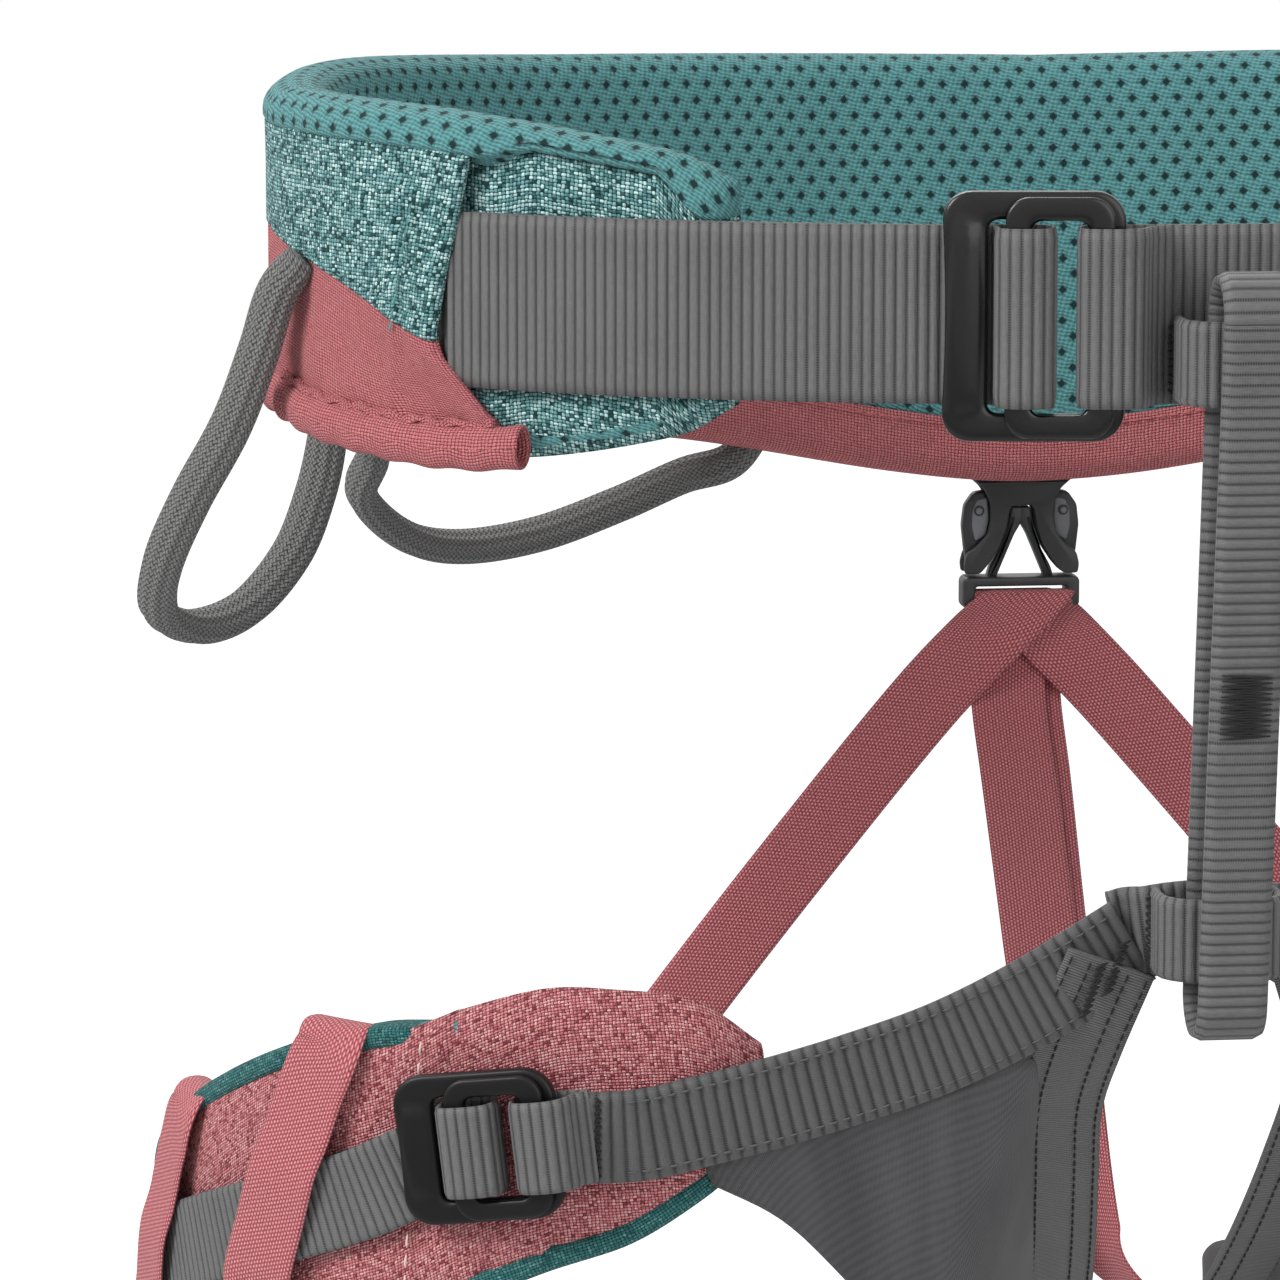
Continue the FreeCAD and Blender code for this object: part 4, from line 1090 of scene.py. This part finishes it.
def rear_buckle():
    """Side-release buckle: a forked female part over a male part with an arch and two prongs."""
    y, half, wall = REAR_BUCKLE_Y, 4.0, 1.7
    fork = both_sides([(-13.2, -57), (-14, -61.5), (-13.2, -65.2), (-9.8, -68.2), (-8.2, -71.5),
                       (-8.0, -76),
                       (-8.8, -79.5), (-11.4, -82.4), (-14.0, -84.4), (-14.7, -87.2), (-14.4, -89.7),
                       (-10.6, -89.7),
                       (-8.4, -87.2), (-5.6, -83), (-3.8, -78), (-3.1, -73.4), (-2.3, -72.4)])
    rows = [moulded("rear_buckle_front", fork, y - half, y - half + wall, PLASTIC, 0.55),
            moulded("rear_buckle_back", fork, y + half - wall, y + half, PLASTIC, 0.55),
            moulded("rear_buckle_head", both_sides([(-13, -57.2), (-13.8, -61), (-10, -65.4)]),
                    y - half + 0.4,
                    y + half - 0.4, PLASTIC, 0.4),
            moulded("rear_buckle_web", both_sides([(-10.3, -59.2), (-10.3, -60.8)]), y - half - 0.7,
                    y - half + 0.6,
                    PLASTIC, 0.35),
            moulded("rear_buckle_brow", both_sides([(-11.6, -66.2), (-10.8, -67.2)]), y - half - 0.35,
                    y - half + 0.4,
                    PLASTIC, 0.25)]
    for piece in rows:
        fit(piece, "rear_buckle", "buckle_plastic")
    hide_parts("rear_buckle_female")

    seat = seat_at(np.array([0, y, -94.5]), np.array([1.0, 0, 0]), np.array([0, -1.0, 0]))
    base = bar_ring("rear_buckle_base", seat, (-15, 15, 4.1, 3.5, 3.5, 2.6, 8.0), -4, PLASTIC, 1.6)
    fit(base, "harness", "buckle_plastic", "rear_buckle_male")
    leg = [(-8.6, -91.2), (-7.6, -88), (-4.9, -83), (-3.2, -78), (-2.5, -72.9), (0.4, -72.9),
           (0.4, -76.4),
           (-1.7, -80), (-3.8, -85), (-6.4, -91.2)]
    pair(moulded("rear_buckle_arch_left", leg, y - 2.2, y + 2.2, PLASTIC, 0.4), "harness",
         "buckle_plastic")
    rib = [(-7.0, -90.2), (-4.2, -84), (-2.5, -79), (-1.6, -75.6), (-2.2, -75.4), (-3.0, -79),
           (-4.9, -84.2),
           (-7.7, -90.2)]
    pair(moulded("rear_buckle_rib_left", rib, y - 2.9, y - 1.9, PLASTIC, 0.25), "harness",
         "buckle_plastic")

    arm = [(-9.0, -68.8), (-12.0, -69.2), (-14.3, -72.4), (-14.9, -77.5), (-14.3, -83), (-13.5, -89.5),
           (-10, -89.5),
           (-10.2, -82), (-7.6, -76)]
    pair(moulded("rear_prong_arm_left", arm, y - 1.8, y + 1.8, PLASTIC, 0.6), "prong_left",
         "prong_plastic",
         "rear_prong_left")
    face = [(-8.6, -70.4), (-11.2, -71.0), (-12.4, -74), (-12.5, -78), (-11.6, -81.6), (-9.0, -80),
            (-8.2, -76)]
    pair(moulded("rear_prong_window_left", face, y - 2.25, y - 1.4, PRONG_GREY, 0.3), "prong_left",
         "prong_plastic")
    a = 2 * np.pi * np.arange(20) / 20
    for name, radius, front, paint in (("ring", 1.35, 2.5, PLASTIC), ("dot", 0.85, 2.8, PRONG_GREY)):
        disc = np.stack([-10.7 + radius * np.cos(a), -73.8 + radius * np.sin(a)], 1)
        pair(moulded(f"rear_prong_{name}_left", disc, y - front, y - 1.6, paint, 0.25), "prong_left",
             "prong_plastic")


OUTER_RISER = [(-24, 126, -121), (-56, 120.5, -158), (-83, 114, -190), (-112, 107.5, -226),
               (-134, 104.5, -254), (-141, 107.5, -265), (-150, 107, -284)]
INNER_RISER = {      # real places of the left and the right strand; the right one hides behind the left
    -1: [(-2, 130.5, -99.4), (-2.5, 130.2, -111), (-3, 127.5, -122), (-3.2, 110, -140),
         (-4, 75, -174), (-5.5, 42, -211), (-10.5, 18, -238), (-13.5, 6, -252)],
    1: [(2, 133.6, -99.4), (2, 133.3, -111), (1.5, 130.6, -122), (1, 113.2, -140),
        (-1.0, 78.2, -174), (-1.5, 45.2, -211), (2.5, 21, -238), (13.5, 9, -252)]}
INNER_RISER_TURN = (0, 0, 0, 0, 8, 50, 70, 75, 78)


def risers():
    for side, tag in ((-1, "left"), (1, "right")):
        outer_back = 0.0 if side < 0 else 1.8
        fold = [(-3.6, 132.0, -95.2), (-2.6, 128.2, -94.4), (-0.6, 125.3, -95.3), (4.2, 125.4, -100.4)]
        outer = [(x * side, y + outer_back, z) for x, y, z in fold]
        outer += [(-side * x, y + outer_back, z) for x, y, z in OUTER_RISER]
        inner = INNER_RISER[side] + [(side * 16, 5, -263)]
        path, length = resample(outer, PLAIN)
        level = np.array([1.0, 0, 0]) + 0 * path
        square = unit(np.cross([0, 1.0, 0], tangents(path)))
        square = square * np.sign(np.sum(square * level, 1))[:, None]
        straight = smooth(length, 7.0, 34.0)[:, None]
        across = unit(level * (1 - straight) + square * straight)
        width = np.minimum(ELASTIC * 0.95 / np.sum(across * square, 1), 21.6 + 0.35 * length)
        band = webbing(f"riser_outer_{tag}", path, across, width, ELASTIC_PINK, 1.2, rib=0, oblique=True)
        path, _ = resample(inner, PLAIN)
        turn = np.radians(profile([(z, a) for (_, _, z), a in zip(inner[::-1], INNER_RISER_TURN[::-1])],
                                  path[:, 2]))
        across = np.stack([np.cos(turn), -side * np.sin(turn), 0 * turn], 1)
        deep = webbing(f"riser_inner_{tag}", path, across, ELASTIC * 0.95, ELASTIC_PINK, 1.2, rib=0)
        for piece in (band, deep):
            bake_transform(piece)
            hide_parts(f"riser_{tag}")
    y = BELT_B + SHELL_OUT
    path, _ = resample([(0, y + 1.1, -28), (0, y + 1.2, -44), (0, y + 2.3, -56.4), (0, y + 4.6, -60)],
                       PLAIN)
    tab = webbing("rear_buckle_tab_band", path, [1, 0, 0], ELASTIC, ELASTIC_PINK, rib=0)
    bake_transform(tab)
    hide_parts("rear_buckle_tab")


# ---- leg loops ----------------------------------------------------------------------------
def leg_height(angle):
    top = profile(LEG_TOP, angle)
    return top, top - profile(LEG_HEIGHT, angle)


def leg_angles():
    return np.concatenate([-13 + np.array([0, 0.3, 0.9, 1.8]), np.arange(-10, 213, 1.2),
                           [213.6, 214.4, 215]])


def cover_face(angle, s, z):
    """How far out the leg cover stands: padded, flat under the webbing, buckle and rims."""
    free = 1 - np.exp(-((z - profile(LEG_WEB_Z, angle)) / 12.0) ** 2) * smooth(angle, 24, 34)
    under_buckle = 1 - np.exp(-((angle - LEG_BUCKLE_ANGLE) / 12) ** 4) * np.exp(-((z - LEG_BUCKLE_Z)
                                                                                  / 17) ** 4)
    crown = 1 - np.abs(2 * s - 1) ** 6
    return LEG_COVER_OUT - 1.0 + crown * (0.7 + 1.5 * free * under_buckle), crown


LEG_MIDDLE_Z = -205.0                      # height that the leg pad's edges turn towards


def leg_pad():
    angle = leg_angles()[:, None]
    top, low = leg_height(angle)
    s = np.linspace(0, 1, 16)[None, :]
    arc = np.radians(np.linspace(180, 0, 7))[None, 1:-1]
    half = LEG_COVER_IN / 2
    out, z = join_columns(
        (0 * s, low + 3 + (top - low - 6) * s),
        (half + half * np.cos(arc), top - 3 + 2.5 * np.sin(arc)),
        (LEG_COVER_IN + 0 * s, top - 3 - (top - low - 6) * s),
        (half - half * np.cos(arc), low + 3 - 2.5 * np.sin(arc)))
    out = out + ripple(angle * 1.7, z, 30, 0.3)
    pad = skin("leg_pad_left", leg_point(angle, out, z), MESH)
    pair(pad, "leg_left", "mesh_lining", "leg_lining_left", "leg_foam_left", fill=0.7)

    s = np.linspace(0, 1, 30)[None, :]
    edge = 2.2 - 2.8 * (1 - smooth(angle, 24, 36))
    z = top - edge - (top - low - edge - 2.2) * s
    out, crown = cover_face(angle, s, z)
    for at, high in ((24.9, True), (21.6, False), (12.5, False)):
        reach = smooth(s, 0.36, 0.02) if high else smooth(s, 0.64, 0.98)
        away = angle - at
        out = out - reach * (1.9 * np.exp(-(away / 0.55) ** 2) - 0.9
                             * np.exp(-((away - 1.3) / 1.1) ** 2))
    out = out + ripple(angle * 1.8, z, 18, 0.35) * crown
    o, h = thicken(out, z, 1.1)
    pair(skin("leg_cover_left_canvas", leg_point(angle, o, h), HEATHER), "leg_left", "pink_heather",
         "leg_cover_left")

    # binding: one closed ring over the pad's whole edge
    turn = np.linspace(0, np.pi, 14)
    a = leg_angles()
    high, deep = leg_height(a)
    tip_top, tip_low = high[0], deep[0]
    end_top, end_low = high[-1], deep[-1]
    tip = np.stack([-13 - 1.6 * np.sin(turn),
                    (tip_top + tip_low) / 2 - (tip_top - tip_low) / 2 * np.cos(turn)], 1)
    end = np.stack([215 + 0.8 * np.sin(turn),
                    (end_top + end_low) / 2 + (end_top - end_low) / 2 * np.cos(turn)], 1)
    route = np.concatenate([tip[:-1], np.stack([a, high], 1)[:-1], end[:-1],
                            np.stack([a, deep], 1)[::-1][:-1]])
    hide = (1 - smooth(route[:, 0], 24, 36)) * smooth(route[:, 1], -190, -178)
    middle = leg_point(route[:, 0], LEG_COVER_OUT / 2 - 3.4 * hide, route[:, 1])
    normal = unit(leg_point(route[:, 0], 9, route[:, 1]) - leg_point(route[:, 0], 0, route[:, 1]))
    along = unit(np.roll(middle, -1, 0) - np.roll(middle, 1, 0))
    inward = np.cross(along, normal)
    flip = np.sign((inward[:, 2] * (LEG_MIDDLE_Z - middle[:, 2])).mean())
    spin = 2 * np.pi * (np.arange(24) + 0.5) / 24
    across = np.sign(np.cos(spin)) * np.abs(np.cos(spin)) ** 0.45 * (LEG_COVER_OUT / 2 + 0.8)
    deep_in = np.sign(np.sin(spin)) * np.abs(np.sin(spin)) ** 0.7 * 2.7
    grid = (middle[:, None] + normal[:, None] * across[None, :, None]
            + inward[:, None] * (deep_in[None, :] + (1.6 + 3.6 * hide[:, None]) * flip)[..., None])
    pair(skin("leg_binding_left", grid, BINDING, ring=True), "leg_left", "teal_canvas")


def leg_straps():
    def arc(out, x):
        return math.sqrt((LEG_R + out) ** 2 - x * x) - LEG_R

    lift = LEG_MAIN_MID
    line = [leg_seat(x, arc(LEG_TAIL_MID, x), 0.0) for x in (-16, -13, -10)]
    line += [leg_seat(x, out, 0.0) for x, out in (
        (-3, LEG_TAIL_MID), (2.2, LEG_TAIL_MID + 0.3), (4.4, lift + 1.6), (4.6, lift + 5),
                                                  (3.6, lift + 8),
        (0.6, lift + 9.2), (-3.6, lift + 9.2), (-6.8, lift + 8), (-7.6, lift + 5), (-7.8, lift + 2.2),
        (-9.2, lift + 0.2), (-13, lift - 0.7))]
    line.append(leg_seat(-15.5, arc(lift, -15.5), 0.0))
    path, _ = resample(line, FINE)
    up = leg_seat(0.0, 0.0, 1.0) - leg_seat(0.0, 0.0, 0.0)
    pair(webbing("leg_strap_webbing_left", path, up, LEG_WEBBING, GREY), "leg_left", "grey_webbing",
         "leg_strap_left")
    line = [leg_seat(x, out, 0.0) for x, out in (
        (24.5, lift - 1.3), (17, lift - 1.5), (12, lift - 1.0), (9.3, lift + 1.2), (8.9, lift + 5),
                                                 (9.6, lift + 8.2),
        (12.4, lift + 9.6), (17.4, lift + 9.4), (20.4, lift + 7.0), (21.9, lift + 3.2),
                                                 (24.5, lift + 0.5))]
    path, _ = resample(line, FINE)
    pair(webbing("leg_eye_webbing_left", path, up, LEG_WEBBING, GREY), "leg_left", "grey_webbing",
         "leg_eye_left")

    angle = np.arange(29, 198.2, 0.25)
    high = profile(LEG_WEB_Z, angle)
    path = leg_point(angle, LEG_MAIN_MID, high)
    normal = leg_point(angle, 20, high) - path
    pair(webbing("leg_webbing_band_left", path, np.cross(normal, tangents(path)), LEG_WEBBING, GREY),
         "leg_left",
         "grey_webbing", "leg_webbing_left")

    near = LEG_MAIN_MID + THICK / 2 + GAP
    pair(bar_ring("leg_buckle_frame_left.satin", leg_seat, LEG_FRAME, near, LEG_METAL, 7.0, 0.6, 0.6),
         "leg_left",
         "buckle_metal", "leg_buckle_frame_left")
    pair(bar_ring("leg_buckle_bar_left.satin", leg_seat, LEG_SLIDER, near + LEG_FRAME[6] + GAP,
                  LEG_METAL, 5.0),
         "leg_slider_left", "buckle_metal", "leg_buckle_slider_left")


FRONT_WEBBING = [(-125.5, -110.0, -177.2), (-112, -109.5, -174.6), (-96, -108.2, -171.2),
                 (-78, -107.0, -166.5), (-58, -106.0, -160), (-38, -105.4, -150.5), (-17, -105, -138)]
INNER_STRIP = [(-24, -102.6, -151), (-29, -98, -163), (-30, -88, -178), (-28, -74, -197),
               (-25, -56, -218), (-22, -34, -237), (-19, -6, -253), (-21, 20, -264), (-29, 44, -273),
               (-42, 65, -281), (-60.8, 84.4, -287), (-76.5, 93.6, -289)]
PANEL_EDGES = [((-111, -106.0, -185), (-109.5, -105.8, -189)),
               ((-95, -105.3, -181.5), (-93, -102.6, -199)),
               ((-75, -102.6, -176.5), (-74, -94, -219)), ((-54, -101.6, -170), (-54, -80, -241)),
               ((-38, -99.0, -165), (-38, -58, -258)), ((-32, -78, -188), (-28, -34, -266)),
               ((-26, -48, -217), (-23.5, -5, -272)), ((-22, -12, -229), (-25, 22, -282)),
               ((-27, 22, -243), (-35, 48, -293)), ((-42, 53, -256), (-51, 68, -305)),
               ((-56, 70, -262), (-60, 76, -312))]


def away_from_leg(points):
    flat = np.asarray(points) - [LEG_X, LEG_Y, 0]
    flat[..., 2] = 0
    return unit(flat)


def leg_front():
    """Doubled webbing to the bridge, the curved strip and the stretch panel between them."""
    joined = [tuple(leg_seat(19.5, LEG_MAIN_MID + 1.0, 0.0))] + FRONT_WEBBING
    path, length = resample(joined, FINE)
    normal = unit(np.cross(tangents(path), [0, 0, 1.0]))
    up = unit(np.cross(normal, tangents(path)))
    pair(webbing("leg_front_band_left", path, up, LEG_WEBBING, GREY_FRONT, 2 * THICK, rib=3.0,
                 rib_depth=0.6), "leg_left", "grey_webbing", "leg_front_webbing_left")
    for k, side in enumerate((-1, 1)):
        row = path + up * side * (LEG_WEBBING / 2 - 2.3) + normal * (THICK - 0.15)
        pair(stitch_run(f"leg_front_stitch_{k}_left", row[30:], normal[30:], THREAD_GREY, 3.0, 2.2,
                        0.26), "leg_left",
             "grey_webbing")
    at = np.searchsorted(length, 6.0)
    pair(bartack("leg_eye_tack_left", path[at] + normal[at] * (THICK + 0.1), up[at], tangents(path)[at],
                 THREAD_DARK,
                 18, 1.3, 21, 0.34), "leg_left", "grey_webbing")

    points = np.array(INNER_STRIP, float)
    points[:2] += [[1.6, -6.2, 9.0], [0.6, -4.6, 2.5]]
    path, length = resample(points, PLAIN)
    ahead = (1 - smooth(length, 110, 200))[:, None] * 0.95
    facing = away_from_leg(path) * (1 - ahead) + np.array([-0.1, -1.0, 0.0]) * ahead
    across = np.cross(facing, tangents(path))
    strip = webbing("leg_strip_band_left", path, across, LEG_WEBBING, GREY_STRIP, rib=0)
    pair(strip, "leg_left", "grey_webbing", "leg_inner_strip_left")
    wide = unit(across)
    face = unit(np.cross(tangents(path), wide))
    face = face * np.sign(np.sum(face * facing, 1))[:, None]
    for k, place in enumerate((-8.6, -4.3, 4.3, 8.6)):
        pair(stitch_run(f"leg_strip_stitch_{k}_left", path + wide * place + face * 0.75, face,
                        THREAD_DARK, 2.7, 2.1,
                        0.26), "leg_left", "grey_webbing")

    pick = np.linspace(0, 1, 90)

    def edge(k):
        route, _ = resample([ends[k] for ends in PANEL_EDGES], 2.4)
        return pick_points(pick, np.linspace(0, 1, len(route)), route)

    tops, lows = edge(0), edge(1)
    s = np.linspace(0, 1, 24)
    grid = tops[:, None] * (1 - s)[None, :, None] + lows[:, None] * s[None, :, None]
    middle = away_from_leg(grid.mean(1))
    sag = 1.6 * np.sin(np.pi * s)[None, :] * np.sin(np.pi * pick)[:, None]
    sag = sag + ripple(pick[:, None] * 150, s[None, :] * 50, 46, 0.5) * np.sin(np.pi * s)
    grid = grid - middle[:, None] * sag[..., None]
    face = unit(np.cross(np.gradient(grid, axis=0), np.gradient(grid, axis=1)))
    hem = 0.35 * smooth(s, 0.92, 0.96)[None, :, None]
    solid = np.concatenate([grid + face * (0.4 + hem), (grid - face * (0.4 + hem))[:, ::-1]], 1)
    left, right = pair(skin("leg_panel_knit_left", solid, KNIT), "leg_left", "stretch_knit",
                       "leg_inner_panel_left")
    row = grid[:, -3] + face[:, -3] * 0.9
    pair(stitch_run("leg_panel_hem_left", row, face[:, -3], THREAD_GREY, 3.0, 2.3, 0.24), "leg_left",
         "stretch_knit")


def keepers():
    for name, top_angle, low_angle in (("front", 41.5, 54.5), ("rear", 71, 84)):
        def stop(share, out, past_top=0.0):
            angle = top_angle + (low_angle - top_angle) * share
            top, low = leg_height(angle)
            return leg_point(angle, out, top + (low - top) * share + past_top)

        web = LEG_MAIN_MID + 2.3
        line = [stop(0, -1.3, -9), stop(0, -1.2, -2), stop(0, 2.2, 2.2), stop(0, 7.2, 2.4),
                stop(0, 10.4, -2)]
        line += [stop(share, out) for share,
                 out in ((0.14, 11.6), (0.3, 12.9), (0.42, web), (0.58, web), (0.74, web),
                                                    (0.86, 12.6))]
        line += [stop(1, 10.4, 3), stop(1, 7.2, -2.0), stop(1, 2.2, -2.0), stop(1, -1.2, 2),
                 stop(1, -1.3, 9)]
        path, _ = resample(line, PLAIN)
        middle = (top_angle + low_angle) / 2
        across = leg_point(middle + 1, 10, 0.0) - leg_point(middle - 1, 10, 0.0)
        pair(webbing(f"leg_keeper_{name}_band_left", path, across, ELASTIC * 0.95, ELASTIC_PINK, 1.2,
                     rib=0),
             "leg_left", "elastic", f"leg_keeper_{name}_left")
    share = np.linspace(0.03, 0.97, 120)
    angle = 28.6 + 2.6 * share
    top, low = leg_height(angle)
    z = top + (low - top) * share
    keep = np.abs(z - profile(LEG_WEB_Z, angle)) > LEG_WEBBING / 2 + 1
    for k, part in enumerate((keep & (share < 0.5), keep & (share > 0.5))):
        path = leg_point(angle[part], cover_face(angle, share, z)[0][part] + 0.95, z[part])
        pair(stitch_run(f"leg_cover_stitch_{k}_left", path, away_from_leg(path), THREAD_WHITE, 4.6, 3.0,
                        0.3),
             "leg_left", "pink_heather")


# ---- tie-in loops, bridge and belay loop --------------------------------------------------
LEG_HINGE_Y, LEG_HINGE_Z = -105.0, -135.0
TIE_IN_WEBBING, BELAY_WEBBING = 18.0, 15.0


def tie_in_points():
    half = [(-12.6, -2 * GAP), (-13.0, -6), (-12.4, -11.5), (-8.4, -15.8), (0, -17)]
    for name, face_y, z in (("upper", belt_point(0, SHELL_IN, 0.0)[1], -9.0),
                            ("lower", LEG_HINGE_Y - THICK - GAP, LEG_HINGE_Z)):
        line = [(x, face_y + y, z) for x, y in half] + [(-x, face_y + y, z) for x,
                                                        y in reversed(half[:-1])]
        path, _ = resample(line, FINE)
        fit(webbing(f"{name}_tie_in_band", path, [0, 0, 1], TIE_IN_WEBBING, GREY, 2.6), "harness",
            "grey_webbing",
            f"{name}_tie_in_loop")
        for k, side in enumerate((-1, 1)):
            fit(bartack(f"{name}_tie_in_tack_{k}", (side * 14.4, face_y - 2.2, z), [0, 0, 1],
                        [0.25 * side, 1, 0],
                        THREAD_DARK, 15, 3.0, 19, 0.3), "harness", "grey_webbing")
    line = [(x, LEG_HINGE_Y + 2.7 * smooth(abs(x), 14, 18), LEG_HINGE_Z - 0.006 * x * x)
            for x in np.linspace(-20.5, 20.5, 15)]
    path, _ = resample(line, FINE)
    fit(webbing("leg_bridge_band", path, [0, 0, 1], LEG_WEBBING, GREY, 2 * THICK), "harness",
        "grey_webbing",
        "leg_bridge")
    for k, x in enumerate((-26.5, -21.5)):
        at = np.array([x, LEG_HINGE_Y - THICK - 2.9, LEG_HINGE_Z - 0.02 * x * x + 1.0])
        pair(bartack(f"bridge_tack_{k}_left", at, [0.34, 0, 1], [1, 0, 0.34], THREAD_DARK, 12, 2.6, 18,
                     0.38), "leg_left",
             "grey_webbing")


def belay_loop():
    top = np.array([0, belt_point(0, SHELL_IN, 0.0)[1] - 15.2, 1.0])
    bottom = np.array([0, LEG_HINGE_Y - 16.2, LEG_HINGE_Z - TIE_IN_WEBBING / 2 - 3.5])
    down = unit(bottom - top)
    ahead = unit(np.cross(down, [1.0, 0, 0]))
    reach = np.linalg.norm(bottom - top)
    radius, turn = 7.9, np.linspace(0, math.pi, 30)
    run = np.linspace(0, reach, 300)[1:-1, None]
    path = np.concatenate([
        top + ahead * (radius * np.cos(turn))[:, None] - down * (radius * np.sin(turn))[:, None],
        top - ahead * radius + down * run,
        bottom - ahead * (radius * np.cos(turn))[:, None] + down * (radius * np.sin(turn))[:, None],
        bottom + ahead * radius - down * run])
    ring_webbing("belay_loop_band", path, [1.0, 0, 0], BELAY_WEBBING, GREY, 3.2)
    for k, side in enumerate((-1, 1)):
        at = top + ahead * side * (radius + 1.8) + down * (reach * 0.55)
        fit(bartack(f"belay_tack_{k}", at, down, [1, 0, 0], THREAD_DARK, 14, 11, 25, 0.3), "belay_loop",
            "grey_webbing")


def ring_webbing(name, path, across, width, material, thick):
    """Webbing sewn into an endless ring, with a whole number of ribs round it."""
    rib, depth = 2.3, 0.3
    along = unit(np.roll(path, -1, 0) - np.roll(path, 1, 0))
    across = unit(np.broadcast_to(across, path.shape))
    normal = np.cross(along, across)
    length = run_of(np.concatenate([path, path[:1]]))
    count = round(length[-1] / rib)
    wave = depth * (np.abs(np.sin(np.pi * length[:-1] / length[-1] * count)) ** 0.7 - 1)
    s = np.linspace(-1, 1, 9)
    flat = 1 - 0.6 * smooth(np.abs(s), 0.86, 1.0)
    side = np.concatenate([flat, -flat[::-1]])
    x = width / 2 * np.concatenate([s, s[::-1]])
    half = (thick / 2 + wave)[:, None] * side
    grid = path[:, None] + across[:, None] * x[None, :, None] + normal[:, None] * half[..., None]
    fit(skin(name, grid, material, along=length, ring=True), "belay_loop", "grey_webbing", "belay_loop")


# ---- the whole scene ----------------------------------------------------------------------
for make in (light_and_camera, waist_lining, tongue_left, outer_canvas, pink_panels, hem_roll,
             waist_webbing_ring,
             waist_buckles, gear_loops, rear_buckle, risers, leg_pad, leg_straps, leg_front, keepers,
             tie_in_points,
             belay_loop):
    make()
